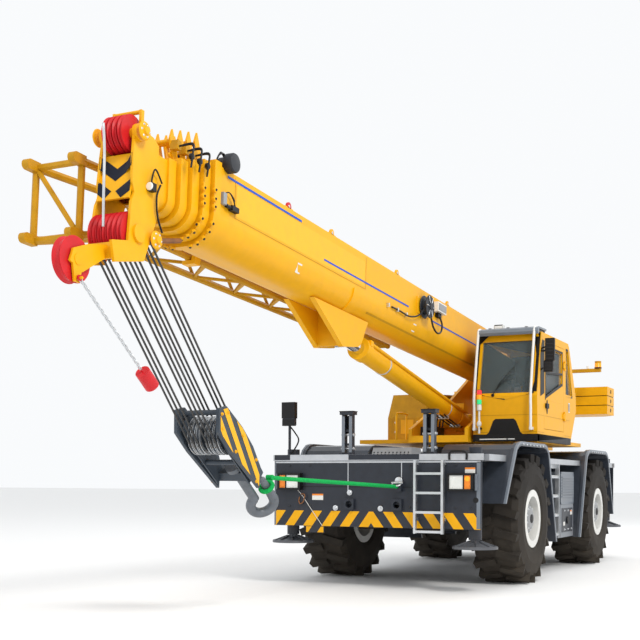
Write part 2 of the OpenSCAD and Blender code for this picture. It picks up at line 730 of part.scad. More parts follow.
// Openings of the cab's windows, smaller by g all round
module windows(g) {
    // Front, roof and rear
    block([1000, cab_y0 + 90 + g, cab_z + 640 + g], [1600, cab_y1 - 90 - g, cab_top - 120 - g]);
    block([350 + g, cab_y0 + 170 + g, cab_top - 200], [1050 - g, cab_y1 - 170 - g, cab_top + 100]);
    block([-1000, cab_y0 + 130 + g, cab_z + 800 + g], [-450, cab_y1 - 130 - g, cab_top - 200 - g]);
    // Inner side and the rear of the door's side
    block([-250 + g, cab_y0 - 50, cab_z + 700 + g], [1050 - g, cab_y0 + cab_t + 50, cab_top - 130 - g]);
    side_plate(cab_y1 - cab_t - 50, cab_y1 + 50)
        polygon(inset([[-600, cab_z + 720], [-200, cab_z + 720], [-200, cab_top - 130],
                       [-320, cab_top - 130]], g));
}
module door_window(g) {
    block([door_x0 + 110 + g, cab_y1 - cab_t - 50, cab_z + 560 + g],
          [door_x1 - 90 - g, cab_y1 + 50, door_z1 - 90 - g]);
}
module cab_shell() {
    color("#e9b01a") placed() {
        difference() {
            cab_walls();
            windows(0);
            door_zone(0);
        }
        hinge_lugs();
        // Feet that stand the cab on the turntable
        block([-500, cab_y0 + 10, turret_z + 60 + fit], [1300, cab_y1 - 60, cab_z + 1]);
    }
}
module pane_layer() {
    difference() {
        cab_solid(20);
        cab_solid(20 + glass_t);
    }
}
module cab_glass() {
    color("#9fb4bd") placed() intersection() {
        pane_layer();
        windows(fit);
    }
}
module cab_interior() {
    y = (cab_y0 + cab_y1) / 2;
    z = cab_z + cab_t;
    color("#2b2d30") placed() {
        block([-150, y - 200, z], [300, y + 200, z + 330]);
        block([-200, y - 240, z + 329], [320, y + 240, z + 460]);
        translate([-200, 0, z + 400]) rotate([0, -10, 0]) block([-100, y - 230, 0], [10, y + 230, 700]);
        for (s = SIDES) block([-60, y + s * 300 - 60, z], [420, y + s * 300 + 60, z + 560]);
        block([1050, y - 260, z], [1250, y + 140, z + 380]);
    }
}
guard_x = 1530;
module cab_fittings() {
    color("#1f2124") placed() {
        // Guard above the windscreen and the roof
        block([940, cab_y0 + 30, cab_top], [1330, cab_y1 - 30, cab_top + 40]);
        for (y = [cab_y0 + 100, cab_y1 - 140]) block([500, y, cab_top], [941, y + 40, cab_top + 30]);
        // Tubes down the windscreen's corners
        for (y = [cab_y0 + 45, cab_y1 - 75]) {
            bar([1310, y, cab_top + 15], [guard_x, y, cab_z + 640], 34, 16);
            bar([guard_x, y, cab_z + 650], [guard_x, y, cab_z + 110], 34, 16);
            block([1438, y - 15, cab_z + 110], [guard_x, y + 15, cab_z + 140]);
        }
        // Stack of signal lamps on its pole, and the roof lamp
        block([1438, cab_y0 + 105, cab_z + 120], [guard_x + 10, cab_y0 + 135, cab_z + 150]);
        translate([guard_x, cab_y0 + 120, cab_z + 60]) cylinder(d = 26, h = 340);
        translate([guard_x, cab_y0 + 120, cab_z + 390]) cylinder(d = 62, h = 300);
        block([1180, cab_y0 + 260, cab_top + 39], [1270, cab_y0 + 380, cab_top + 130]);
        // Two mirrors on an arm from the front corner
        bar([1270, cab_y1 + fit, cab_top - 280], [1270, cab_y1 + 140, cab_top - 280], 28, 16);
        block([1245, cab_y1 + 70, cab_top - 420], [1295, cab_y1 + 200, cab_top - 110]);
        block([1245, cab_y1 + 50, cab_top - 580], [1295, cab_y1 + 180, cab_top - 419]);
    }
}
module door() {
    color("#e9b01a") placed() {
        difference() {
            intersection() {
                cab_walls();
                door_zone(door_gap);
            }
            door_window(0);
        }
        // Handle
        block([door_x1 - 190, cab_y1 - 1, cab_z + 440], [door_x1 - 60, cab_y1 + 22, cab_z + 500]);
        for (z = HINGES) difference() {
            union() {
                translate([door_x0, hinge_y, z]) cylinder(d = hinge_d, h = 80);
                block([door_x0 + 5, cab_y1 - 1, z], [door_x0 + 70, hinge_y + 4, z + 80]);
            }
            translate([door_x0, hinge_y, z - 1]) cylinder(d = hinge_pin_d + 2 * pin_fit, h = 82);
        }
    }
}
module door_glass() {
    color("#9fb4bd") placed() intersection() {
        pane_layer();
        door_window(fit);
    }
}

aux_x = -plate_rear + 75 + flange_d / 2;
WINCHES = [aux_x + flange_d + 15, aux_x];
drum_z = turret_z + 470;
drum_l = plate_gap - 2 * fit;
module winch(x) {
    color("#8d9297") placed() translate([x, 0, drum_z]) {
        cross_bar(drum_d / 2, drum_l - 40);
        both() cross_bar(flange_d / 2, 25, (drum_l - 25) / 2 - 1);
        both() cross_bar(60, 20, (drum_l - 20) / 2);
    }
}

// Lift cylinder, drawn along X from its foot pin

barrel_l = lift_l - 450;
module on_lift() { translate(foot) rotate([0, -lift_angle, 0]) children(); }
module lift_barrel() {
    color("#e3a912") placed() on_lift() difference() {
        union() {
            rotate([0, 90, 0]) cylinder(d = lift_d, h = barrel_l, $fn = 64);
            cross_bar(lift_d / 2 + 15, lift_d);
            // Head of the barrel, and its oil pipe with the valve block
            translate([barrel_l - 160, 0, 0]) rotate([0, 90, 0]) cylinder(d = lift_d + 40, h = 160, $fn = 64);
            translate([420, lift_d / 2 - 7, 80]) rotate([0, 90, 0])
                cylinder(d = 45, h = barrel_l - 520, $fn = 16);
            block([300, 0, lift_d / 2 - 40], [520, lift_d / 2 + 25, lift_d / 2 + 60]);
            block([barrel_l - 140, lift_d / 2 - 60, 40], [barrel_l - 60, lift_d / 2 + 20, 110]);
        }
        translate([120, 0, 0]) rotate([0, 90, 0]) cylinder(d = lift_rod_d + 2 * pin_fit, h = barrel_l);
        cross_bar(lift_pin_d / 2 + pin_fit, 2 * lift_d);
    }
}
eye_hw = 90;
module lift_rod() {
    color("#c9cdd0") placed() on_lift() difference() {
        union() {
            translate([barrel_l - 2500, 0, 0]) rotate([0, 90, 0])
                cylinder(d = lift_rod_d, h = lift_l - barrel_l + 2500 - 90);
            translate([lift_l, 0, 0]) cross_bar(lift_rod_d / 2 + 35, 2 * eye_hw);
        }
        translate([lift_l, 0, 0]) cross_bar(lift_pin_d / 2 + pin_fit, 4 * eye_hw);
    }
}

// Boom

// Half width, top and bottom of a section: each lies inside the one before.
function sec_hw(k) = boom_hw - k * boom_step;
function sec_top(k) = boom_top - k * boom_step;
function sec_bot(k) = -boom_drop + k * boom_step;
function sec_r(k) = boom_r - k * boom_step;
// Outline across the boom, X to the side and Y up, with round lower corners
module sec_outline(k, grow = 0) {
    hw = sec_hw(k) + grow;
    bot = sec_bot(k) - grow;
    r = sec_r(k) + grow;
    translate([-hw, bot + r]) square([2 * hw, sec_top(k) + grow - bot - r]);
    translate([-hw + r, bot]) square([2 * hw - 2 * r, r + 1]);
    for (s = SIDES) translate([s * (hw - r), bot + r]) circle(r, $fn = 64);
}
// Extrudes an outline across the boom from u0 to u1.
module along(u0, u1) { translate([u0, 0, 0]) rotate([90, 0, 90]) linear_extrude(u1 - u0) children(); }
module sec_tube(k, u0, u1) {
    difference() {
        along(u0, u1) sec_outline(k);
        along(u0 - 1, u1 + 1) sec_outline(k, -boom_t);
    }
}
// Stiff collar at the front of section k, with pads that carry the next section
module collar(k, u1) {
    l = collar_l - 20;
    difference() {
        along(u1 - l, u1) sec_outline(k, 22);
        along(u1 - l - 1, u1 + 1) sec_outline(k + 1, 6);
    }
    for (s = SIDES) {
        block([u1 - 100, s > 0 ? sec_hw(k + 1) + fit : -sec_hw(k) - 10, sec_top(k + 1) - 250],
              [u1 - 10, s > 0 ? sec_hw(k) + 10 : -sec_hw(k + 1) - fit, sec_top(k + 1) - 60]);
        block([u1 - 100, s * sec_hw(k + 1) / 2 - 60, sec_top(k + 1) + fit],
              [u1 - 10, s * sec_hw(k + 1) / 2 + 60, sec_top(k) + 10]);
    }
    block([u1 - 100, -sec_hw(4) + sec_r(4), sec_bot(k) - 10],
          [u1 - 10, sec_hw(4) - sec_r(4), sec_bot(k + 1) - fit]);
    // Rope guide on top: two fins with a roller between them
    for (s = SIDES) side_plate(s * 120 - 10, s * 120 + 10) polygon([
        [u1 - 100, sec_top(k) + 10], [u1 - 15, sec_top(k) + 10], [u1 + 45, sec_top(k) + 200],
        [u1 + 10, sec_top(k) + 290], [u1 - 30, sec_top(k) + 200]
    ]);
    translate([u1, 0, sec_top(k) + 190]) cross_bar(20, 250);
}
bracket_hw = 190;
module boom_base() {
    color("#ecb41f") placed() on_boom() {
        difference() {
            union() {
                sec_tube(0, -boom_heel, boom_l - 20);
                cross_bar(150, 2 * boom_hw + 16);
                // Band round the lower half at the bracket
                difference() {
                    along(eye_u + 200, eye_u + 420) sec_outline(0, 16);
                    along(eye_u + 199, eye_u + 421) sec_outline(0, -boom_t);
                    block([eye_u, -2 * boom_hw, 240], [eye_u + 600, 2 * boom_hw, 2 * boom_h]);
                }
            }
            cross_bar(pivot_d / 2 + pin_fit, 3 * boom_hw);
        }
        collar(0, boom_l);
        // Cheeks of the lift cylinder's bracket and the stubs of its pin
        for (s = SIDES) {
            y = s > 0 ? bracket_hw - 60 : -bracket_hw;
            side_plate(y, y + 60) polygon([
                [eye_u - 300, -boom_drop + 8], [eye_u - 130, -eye_w - 60], [eye_u - 40, -eye_w - 120],
                [eye_u + 390, -eye_w - 190], [eye_u + 1170, -boom_drop + 8]
            ]);
            translate([eye_u, 0, -eye_w])
                cross_bar(lift_pin_d / 2, bracket_hw - eye_hw - fit, s * (bracket_hw + eye_hw + fit) / 2);
        }
        block([eye_u + 390, 5 - bracket_hw, -eye_w - 180], [eye_u + 420, bracket_hw - 5, -boom_drop + 5]);
        // Carriers of the stowed jib
        for (u = JIB_SEATS)
            along(u - 50, u + 50) polygon([
                [4 - boom_hw, 330], [-boom_hw - 40, 330], [-boom_hw - 75, seat_w], [-jib_y0 - 60, seat_w],
                [-jib_y0 - 60, seat_w - 40], [-boom_hw - 40, seat_w - 40], [4 - boom_hw, 190]
            ]);
    }
}

// Stowed jib: a tapered lattice beside the boom, from its root frame back to its tip

jib_y0 = boom_hw + 120;
jib_root = head_u + 380;
// Bottom chords of the lattice, its width and height there, and half a bay
jib_w0 = 90;
seat_w = jib_w0 - chord_d / 2 - fit;
lace_w = 440;
lace_h = 450;
tip_w = 320;
jib_half = 400;
HALVES = 15;
lace_d = 44;
lattice_u = jib_root - jib_l + HALVES * jib_half;
// Corner of the lattice at half bay i: y is 1 on the boom's side, z is 1 on top
function jib_p(i, y, z) =
    let(f = i / HALVES)
    [lattice_u - i * jib_half, -jib_y0 - (y > 0 ? 0 : lace_w + (tip_w - lace_w) * f),
     jib_w0 + (z > 0 ? lace_h + (tip_w - lace_h) * f : 0)];
// Corner of the root frame
function root_p(y, z) = [jib_root, -jib_y0 - 20 - (y > 0 ? 0 : jib_w), -140 + (z > 0 ? jib_h : 0)];
JIB_SEATS = [lattice_u - 900, lattice_u - 4900];
CHORDS = [[1, 1], [1, -1], [-1, -1], [-1, 1]];
// Lattice bar between two chords, its ends kept short inside them
module lace(a, b, d) {
    short = (chord_d - 36) / 2 * (b - a) / norm(b - a);
    bar(a + short, b - short, d, 6);
}
module jib() {
    color("#d99d12") placed() on_boom() {
        for (k = [0 : 3]) {
            a = CHORDS[k];
            b = CHORDS[(k + 1) % 4];
            bar(jib_p(0, a[0], a[1]), jib_p(HALVES, a[0], a[1]), chord_d, 8);
            bar(root_p(a[0], a[1]), jib_p(0, a[0], a[1]), chord_d, 8);
            lace(root_p(a[0], a[1]), root_p(b[0], b[1]), 64);
            lace(jib_p(0, a[0], a[1]), jib_p(0, b[0], b[1]), lace_d);
            lace(jib_p(HALVES, a[0], a[1]), jib_p(HALVES, b[0], b[1]), lace_d);
            for (i = [0 : HALVES - 1]) {
                first = (i + k) % 2 == 0 ? a : b;
                next = first == a ? b : a;
                lace(jib_p(i, first[0], first[1]), jib_p(i + 1, next[0], next[1]), 36);
            }
            // Lug with a round end at each corner of the root frame
            translate(root_p(a[0], a[1])) side_plate(-34, 34) {
                translate([-20, -45]) square([130, 90]);
                translate([110, 0]) circle(45);
            }
        }
        lace(root_p(-1, 1), root_p(1, -1), 50);
        // Tip with its sheave between two plates
        for (y = [-jib_y0 - tip_w - 15, -jib_y0 - 15]) side_plate(y, y + 30) polygon([
            [jib_p(HALVES, 1, 1)[0] + 60, jib_w0 - 20], [jib_p(HALVES, 1, 1)[0] + 60, jib_w0 + tip_w + 20],
            [jib_p(HALVES, 1, 1)[0] - 240, jib_w0 + tip_w - 60], [jib_p(HALVES, 1, 1)[0] - 300, jib_w0 + 120]
        ]);
        translate([jib_p(HALVES, 1, 1)[0] - 170, 0, jib_w0 + 190])
            span_bar(115, -jib_y0 - tip_w + 10, -jib_y0 - 10);
    }
}

module section(k, colour) {
    color(colour) placed() on_boom() {
        sec_tube(k, 350, boom_l + k * collar_l - 20);
        collar(k, boom_l + k * collar_l);
    }
}

// Outline of a head plate, from the front of the fourth section
HEAD = [
    [340, -410], [740, -510], [780, -340], [560, -290], [520, 50], [480, 140], [510, 220], [500, 450],
        [480, 670],
    [350, 710], [210, 690], [130, 640], [160, 300], [120, 190], [160, -10]
];
head_foot = -510;
head_lean = 2.3;
module boom_head() {
    color("#ecb41f") placed() on_boom() {
        sec_tube(4, 350, head_u + 260);
        difference() {
            along(head_u - collar_l + 20, head_u) sec_outline(4, 20);
            along(head_u - collar_l + 19, head_u + 1) sec_outline(4, -boom_t);
        }
        both() translate([head_u, head_hw, head_foot]) rotate([head_lean, 0, 0])
            translate([0, 0, -head_foot]) {
            side_plate(-head_t, 0) polygon(HEAD);
            // Bosses at the two axles
            for (p = [[lower_axle[0] - head_u, lower_axle[1]], [upper_axle[0] - head_u, upper_axle[1]]])
                translate([p[0], 0, p[1]]) span_bar(75, 3 - head_t, 22);
        }
        // Shafts of the sheaves
        translate([lower_axle[0], 0, lower_axle[1]]) cross_bar(shaft_d / 2, 2 * head_hw - 40);
        translate([upper_axle[0], 0, upper_axle[1]]) cross_bar(shaft_d / 2, 2 * head_hw - 120);
        // Front cover between the plates, and the bridge at their foot
        side_plate(-head_in(280), head_in(280))
            polygon([[head_u + 425, 480], [head_u + 445, 485], [head_u + 525, 85], [head_u + 505, 80]]);
        block([head_u + 690, -head_in(-400), -470], [head_u + 716, head_in(-400), -336]);
        // Posts and bar that keep the rope on the upper sheaves
        for (s = SIDES) block([head_u + 335, s * 138 - 12, 640], [head_u + 375, s * 138 + 12, 880]);
        translate([head_u + 355, 0, 866]) cross_bar(18, 2 * 138);
        // Arm of the nose sheave
        for (y = [nose_y - 70, nose_y + 50]) side_plate(y, y + 20) polygon([
            [head_u + 697, -352], [head_u + 697, -455], [nose_axle[0] - 60, nose_axle[1] - 90],
            [nose_axle[0] + 95, nose_axle[1] - 30], [nose_axle[0] + 60, nose_axle[1] + 75],
            [nose_axle[0] - 120, nose_axle[1] + 150]
        ]);
        translate([nose_axle[0], 0, nose_axle[1]]) cross_bar(shaft_d / 2, 150, nose_y);
        // Lug of the limit weight
        side_plate(nose_y + 50, nose_y + 70) polygon([
            [bob_u - 60, nose_axle[1] - 40], [bob_u - 30, bob_w - 30], [bob_u + 30, bob_w - 30],
                [bob_u + 60, nose_axle[1] - 40]
        ]);
        translate([bob_u, 0, bob_w]) cross_bar(11, 60, nose_y + 90);
    }
}
// Half of the width inside the head plates at height w
function head_in(w) = head_hw - head_t - (w - head_foot) * sin(head_lean) + 8;
bob_u = nose_axle[0];
bob_w = nose_axle[1] - 150;

// A sheave with its groove and its bore on the shaft
module sheave(r, w, y) {
    translate([0, y, 0]) rotate([90, 0, 0])
        rotate_extrude($fn = 64) polygon([
            [shaft_d / 2 + fit, -w / 2], [r, -w / 2], [r - rope_d, -w / 6], [r - rope_d, w / 6],
            [r, w / 2], [shaft_d / 2 + fit, w / 2]
        ]);
}
module head_sheaves() {
    color("#b3242a") placed() on_boom() {
        for (i = [-3 : 3])
            translate([lower_axle[0], 0, lower_axle[1]]) sheave(sheave_r, sheave_w, i * sheave_pitch);
        for (i = [-1.5 : 1.5])
            translate([upper_axle[0], 0, upper_axle[1]])
                sheave(top_sheave_r, sheave_w, i * sheave_pitch * 1.1);
        translate([nose_axle[0], 0, nose_axle[1]]) sheave(nose_r, 2 * sheave_w, nose_y);
    }
}

// Reeving and hook block, drawn from the lower sheaves' axis

hang = boom_at(lower_axle[0], lower_axle[1]);
module on_hang(a) { translate(hang) rotate([0, a, 0]) children(); }
block_pin = hang - rope_l * [sin(rope_lean), 0, cos(rope_lean)];
module on_block() { translate(block_pin) rotate([0, block_lean, 0]) children(); }
// Ropes run off both sides of six sheaves, down to as many sheaves of the block.
rope_x = sheave_r - rope_d / 2 + fit;
REEVED = [-3, -2, -1, 1, 2, 3];
module hoist_ropes() {
    color("#3a3c3e") placed() on_hang(rope_lean)
        for (i = REEVED, s = SIDES)
            translate([s * rope_x, i * sheave_pitch, -rope_l]) cylinder(d = rope_d, h = rope_l, $fn = 12);
}
// Outline of a cheek of the block about its pin
CHEEK = [[24, 366], [-88, 293], [-160, -40], [-176, -316], [-137, -563], [28, -695], [159, -56], [182, 213]];
cheek_t = 36;
// Trunnion of the hook, and the distance from it to the middle of the hook's bowl
trunnion = [-80, 0, -590];
hook_drop = 540;
hook_tilt = 6;
hook_bend = 125;
hook_d = 104;
hook_turn = 128;
// Middle of the bowl beside the shank's axis
hook_off = 45;
module hook_block() {
    color("#57616b") placed() on_block() difference() {
        union() {
            for (s = SIDES)
                side_plate(s > 0 ? block_hw - cheek_t : -block_hw, s > 0 ? block_hw : -block_hw + cheek_t)
                polygon(CHEEK);
            // Two inner walls between the sheaves, the pin and the bars across
            for (s = SIDES) side_plate(s * (block_hw - 70) - 8, s * (block_hw - 70) + 8) polygon([
                [0, 250], [-70, 230], [-140, -40], [-150, -420], [-80, -600], [60, -600], [130, -60],
                    [130, 200]
            ]);
            cross_bar(shaft_d / 2 + 4, 2 * block_hw - 4);
            for (i = REEVED) cross_bar(sheave_r - rope_d, sheave_w - 8, i * sheave_pitch);
            for (p = [[-30, 270], [-128, -300], [60, -300]])
                translate([p[0], 0, p[1]]) cross_bar(26, 2 * block_hw - 4);
            block([trunnion[0] - 60, 4 - block_hw, trunnion[2] - 55],
                  [trunnion[0] + 60, block_hw - 4, trunnion[2] + 55]);
        }
        translate(trunnion) rotate([0, hook_tilt, 0]) cylinder(d = shank_d + 2 * fit, h = 400, center = true);
    }
}
module on_hook() {
    on_block() translate(trunnion) rotate([0, hook_tilt, 0]) translate([0, 0, -hook_drop])
        rotate([0, 0, hook_turn])
        children();
}
tip_l = 310;
tip_d = 70;
module hook() {
    color("#6b7278") placed() on_hook() {
        translate([0, 0, hook_bend - 20]) cylinder(d = shank_d, h = hook_drop - hook_bend + 130);
        translate([0, 0, hook_drop + 75]) cylinder(d = shank_d + 70, h = 50);
        translate([hook_off, 0, 0]) {
            rotate([90, 0, 0]) rotate([0, 0, 111]) rotate_extrude(angle = 250, $fn = 64)
                translate([hook_bend, 0]) circle(d = hook_d, $fn = 32);
            translate([hook_bend, 0, -6]) cylinder(d1 = hook_d - 3, d2 = tip_d, h = tip_l);
            translate([hook_bend, 0, tip_l - 12]) cylinder(d1 = tip_d - 3, d2 = tip_d / 2, h = 34);
        }
    }
}

// Sling that ties the hook back: a loop on the hook's tip, a leg that hangs on the loop,
// and its end on the plate
loop_z = 180;
loop_r = (hook_d - 3 + (tip_d - hook_d + 3) * (loop_z + 6) / tip_l + sling_d) / 2 + 0.8;
knot_r = 30;
function from_hook(v)
    = let(a = block_lean + hook_tilt, t = turn([v[0], v[1]], hook_turn), z = v[2] - hook_drop)
    block_pin + [trunnion[0] * cos(block_lean) + trunnion[2] * sin(block_lean), 0,
                 trunnion[2] * cos(block_lean) - trunnion[0] * sin(block_lean)]
    + [t[0] * cos(a) + z * sin(a), t[1], z * cos(a) - t[0] * sin(a)];
knot = from_hook([hook_off + hook_bend, 0, loop_z])
    - (loop_r + sling_d / 2 + knot_r + fit) * [cos(block_lean + hook_tilt), 0, -sin(block_lean + hook_tilt)];
sling_1 = [front_x + plate_th + 90, 355, deck_z - 330];
sling_cut = 440 / norm(sling_1 - knot);
function on_sling(f) = sling_1 + (knot - sling_1) * f;
module sling_loop() {
    color("#2f9e5b") placed() on_hook() translate([hook_off + hook_bend, 0, loop_z])
        rotate_extrude($fn = 48) translate([loop_r, 0]) circle(d = sling_d, $fn = 24);
}
module sling() {
    color("#2f9e5b") placed() {
        translate(knot) cross_bar(knot_r, 70);
        bar(on_sling(sling_cut) + [fit, 0, 0], knot, sling_d);
    }
}
module sling_end() {
    color("#2f9e5b") placed() bar(sling_1, on_sling(sling_cut), sling_d);
}

bob_l = 1150;
bob_lean = 52;
module limit_weight() {
    color("#a3262a") placed() translate(boom_at(bob_u, bob_w) + [0, nose_y + 90, 0])
        rotate([0, bob_lean, 0]) {
        difference() {
            cross_bar(24, 14);
            cross_bar(11 + pin_fit, 20);
        }
        translate([0, 0, -bob_l]) cylinder(d = 14, h = bob_l - 20, $fn = 12);
        translate([0, 0, -bob_l - 90]) cylinder(d = 130, h = 180);
    }
}

chassis();
outrigger_boxes();
end_plates();
decks();
fenders();
axles();
engine();
side_boxes();
steps();
lamps();
front_fittings();
knuckle(CORNERS[0]);  // knuckle_fl
knuckle(CORNERS[1]);  // knuckle_fr
knuckle(CORNERS[2]);  // knuckle_rl
knuckle(CORNERS[3]);  // knuckle_rr
tyre(CORNERS[0]);  // tyre_fl
tyre(CORNERS[1]);  // tyre_fr
tyre(CORNERS[2]);  // tyre_rl
tyre(CORNERS[3]);  // tyre_rr
rim(CORNERS[0]);  // rim_fl
rim(CORNERS[1]);  // rim_fr
rim(CORNERS[2]);  // rim_rl
rim(CORNERS[3]);  // rim_rr
beam(CORNERS[0]);  // beam_fl
beam(CORNERS[1]);  // beam_fr
beam(CORNERS[2]);  // beam_rl
beam(CORNERS[3]);  // beam_rr
jack(CORNERS[0]);  // jack_fl
jack(CORNERS[1]);  // jack_fr
jack(CORNERS[2]);  // jack_rl
jack(CORNERS[3]);  // jack_rr
turret();
counterweight();
turret_hood();
cab_shell();
cab_glass();
cab_interior();
cab_fittings();
door();
door_glass();
winch(WINCHES[0]);  // main_winch
winch(WINCHES[1]);  // aux_winch
lift_barrel();
lift_rod();
boom_base();
jib();
section(1, "#e6ad1c");  // section_2
section(2, "#ecb41f");  // section_3
section(3, "#e6ad1c");  // section_4
boom_head();
head_sheaves();
hoist_ropes();
hook_block();
hook();
sling_loop();
sling();
sling_end();
limit_weight();
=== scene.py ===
import bpy
import bmesh
import json
import math
from mathutils import Matrix, Vector
from mathutils.bvhtree import BVHTree


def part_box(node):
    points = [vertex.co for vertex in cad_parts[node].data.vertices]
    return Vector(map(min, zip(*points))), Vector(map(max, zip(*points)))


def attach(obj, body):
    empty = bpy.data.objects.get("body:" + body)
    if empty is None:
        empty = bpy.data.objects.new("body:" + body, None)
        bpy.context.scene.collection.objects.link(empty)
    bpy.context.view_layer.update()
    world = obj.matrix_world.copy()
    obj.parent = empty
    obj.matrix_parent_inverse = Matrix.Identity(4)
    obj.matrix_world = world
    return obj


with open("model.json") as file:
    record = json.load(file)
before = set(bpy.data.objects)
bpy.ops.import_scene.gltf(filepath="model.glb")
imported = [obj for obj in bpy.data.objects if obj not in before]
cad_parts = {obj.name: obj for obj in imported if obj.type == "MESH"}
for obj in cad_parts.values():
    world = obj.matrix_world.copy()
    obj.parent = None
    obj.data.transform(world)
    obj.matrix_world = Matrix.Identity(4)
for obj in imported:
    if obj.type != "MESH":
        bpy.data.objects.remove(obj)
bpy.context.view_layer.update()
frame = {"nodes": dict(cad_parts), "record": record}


def middle(node):
    lo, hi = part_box(node)
    return (Vector(lo) + Vector(hi)) / 2


def low(node):
    return Vector(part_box(node)[0])


def high(node):
    return Vector(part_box(node)[1])


# The slewing axis in the part's frame, midway between the axles
AXLE_X = round((middle("tyre_fl").x - middle("tyre_rl").x) / 2, 4)
SLEW = middle("tyre_fl").x - AXLE_X
SLOT = {p["node"]: p["material_slot"] for p in frame["record"]["subparts"]}
JOINTS = {j["name"]: j for j in frame["record"]["behaviour"]["joints"]}

# Camera: matched to the photograph from the wheels, the front plate and the boom
FOCAL_PX, HORIZON_PX, FRAME_PX = 1100.0, 480.0, 640.0
CAM_AT, CAM_TURN, CAM_ROLL = (16.774 + SLEW, 5.579, 1.390), 0.458, 0.004
cam_data = bpy.data.cameras.new("camera")
cam_data.sensor_width = 36.0
cam_data.lens = 36.0 * FOCAL_PX / FRAME_PX
cam_data.shift_y = (HORIZON_PX - FRAME_PX / 2) / FRAME_PX
cam_data.clip_start, cam_data.clip_end = 0.1, 400.0
camera = bpy.data.objects.new("camera", cam_data)
bpy.context.scene.collection.objects.link(camera)
look = Vector((-math.cos(CAM_TURN), -math.sin(CAM_TURN), 0))
right = look.cross(Vector((0, 0, 1)))
turned = Matrix((right, Vector((0, 0, 1)), -look)).transposed()
camera.matrix_world = Matrix.Translation(CAM_AT) @ (turned @ Matrix.Rotation(CAM_ROLL, 3, "Z")).to_4x4()
bpy.context.scene.camera = camera
bpy.context.scene.view_settings.view_transform = "Standard"

# Materials


def surface(name, colour, rough=0.45, metal=0.0, coat=0.0, vary=0.06, dust=0.0, bump=0.0, scale=9.0,
            dust_top=1.2, gloss=0.5):
    """Procedural finish: cloudy colour, uneven roughness, dust towards the ground and a fine bump."""
    m = bpy.data.materials.new(name)
    m.use_nodes = True
    t = m.node_tree
    t.nodes.clear()
    out = t.nodes.new("ShaderNodeOutputMaterial")
    b = t.nodes.new("ShaderNodeBsdfPrincipled")
    t.links.new(b.outputs[0], out.inputs[0])
    b.inputs["Metallic"].default_value = metal
    b.inputs["Specular IOR Level"].default_value = gloss
    if coat:
        b.inputs["Coat Weight"].default_value = coat
        b.inputs["Coat Roughness"].default_value = 0.12
    where = t.nodes.new("ShaderNodeTexCoord")
    noise = t.nodes.new("ShaderNodeTexNoise")
    noise.inputs["Scale"].default_value = scale
    noise.inputs["Detail"].default_value = 6.0
    t.links.new(where.outputs["Object"], noise.inputs["Vector"])
    ramp = t.nodes.new("ShaderNodeValToRGB")
    ramp.color_ramp.elements[0].position = 0.3
    ramp.color_ramp.elements[1].position = 0.72
    c = Vector(colour[:3])
    ramp.color_ramp.elements[0].color = (*(c * (1 - vary)), 1)
    ramp.color_ramp.elements[1].color = (*[min(1.0, v * (1 + vary)) for v in c], 1)
    t.links.new(noise.outputs["Fac"], ramp.inputs["Fac"])
    tint = ramp.outputs["Color"]
    if dust:
        grime = t.nodes.new("ShaderNodeTexNoise")
        grime.inputs["Scale"].default_value = 4.0
        grime.inputs["Detail"].default_value = 8.0
        t.links.new(where.outputs["Object"], grime.inputs["Vector"])
        split = t.nodes.new("ShaderNodeSeparateXYZ")
        t.links.new(where.outputs["Object"], split.inputs[0])
        fall = t.nodes.new("ShaderNodeMapRange")
        fall.inputs["From Min"].default_value = 0.0
        fall.inputs["From Max"].default_value = dust_top
        fall.inputs["To Min"].default_value = dust
        fall.inputs["To Max"].default_value = 0.0
        t.links.new(split.outputs["Z"], fall.inputs["Value"])
        amount = t.nodes.new("ShaderNodeMath")
        amount.operation = "MULTIPLY"
        t.links.new(grime.outputs["Fac"], amount.inputs[0])
        t.links.new(fall.outputs[0], amount.inputs[1])
        mix = t.nodes.new("ShaderNodeMix")
        mix.data_type = "RGBA"
        mix.inputs["B"].default_value = (0.3, 0.24, 0.17, 1)
        t.links.new(amount.outputs[0], mix.inputs["Factor"])
        t.links.new(tint, mix.inputs["A"])
        tint = mix.outputs["Result"]
    t.links.new(tint, b.inputs["Base Color"])
    uneven = t.nodes.new("ShaderNodeMapRange")
    uneven.inputs["To Min"].default_value = max(0.03, rough - 0.08)
    uneven.inputs["To Max"].default_value = min(1.0, rough + 0.1)
    t.links.new(noise.outputs["Fac"], uneven.inputs["Value"])
    t.links.new(uneven.outputs[0], b.inputs["Roughness"])
    if bump:
        fine = t.nodes.new("ShaderNodeTexNoise")
        fine.inputs["Scale"].default_value = 90.0
        fine.inputs["Detail"].default_value = 4.0
        t.links.new(where.outputs["Object"], fine.inputs["Vector"])
        relief = t.nodes.new("ShaderNodeBump")
        relief.inputs["Strength"].default_value = bump
        relief.inputs["Distance"].default_value = 0.01
        t.links.new(fine.outputs["Fac"], relief.inputs["Height"])
        t.links.new(relief.outputs[0], b.inputs["Normal"])
    return m


def shader(material):
    return next(n for n in material.node_tree.nodes if n.type == "BSDF_PRINCIPLED")


def clear(name, colour, rough=0.04, alpha=0.35):
    """Tinted clear pane"""
    m = surface(name, colour, rough=rough, vary=0.02)
    shader(m).inputs["Alpha"].default_value = alpha
    return m


def glow(name, colour, strength=0.6, rough=0.25):
    """Lit lamp glass"""
    m = surface(name, colour, rough=rough, vary=0.04)
    shader(m).inputs["Emission Color"].default_value = (*colour, 1)
    shader(m).inputs["Emission Strength"].default_value = strength
    return m


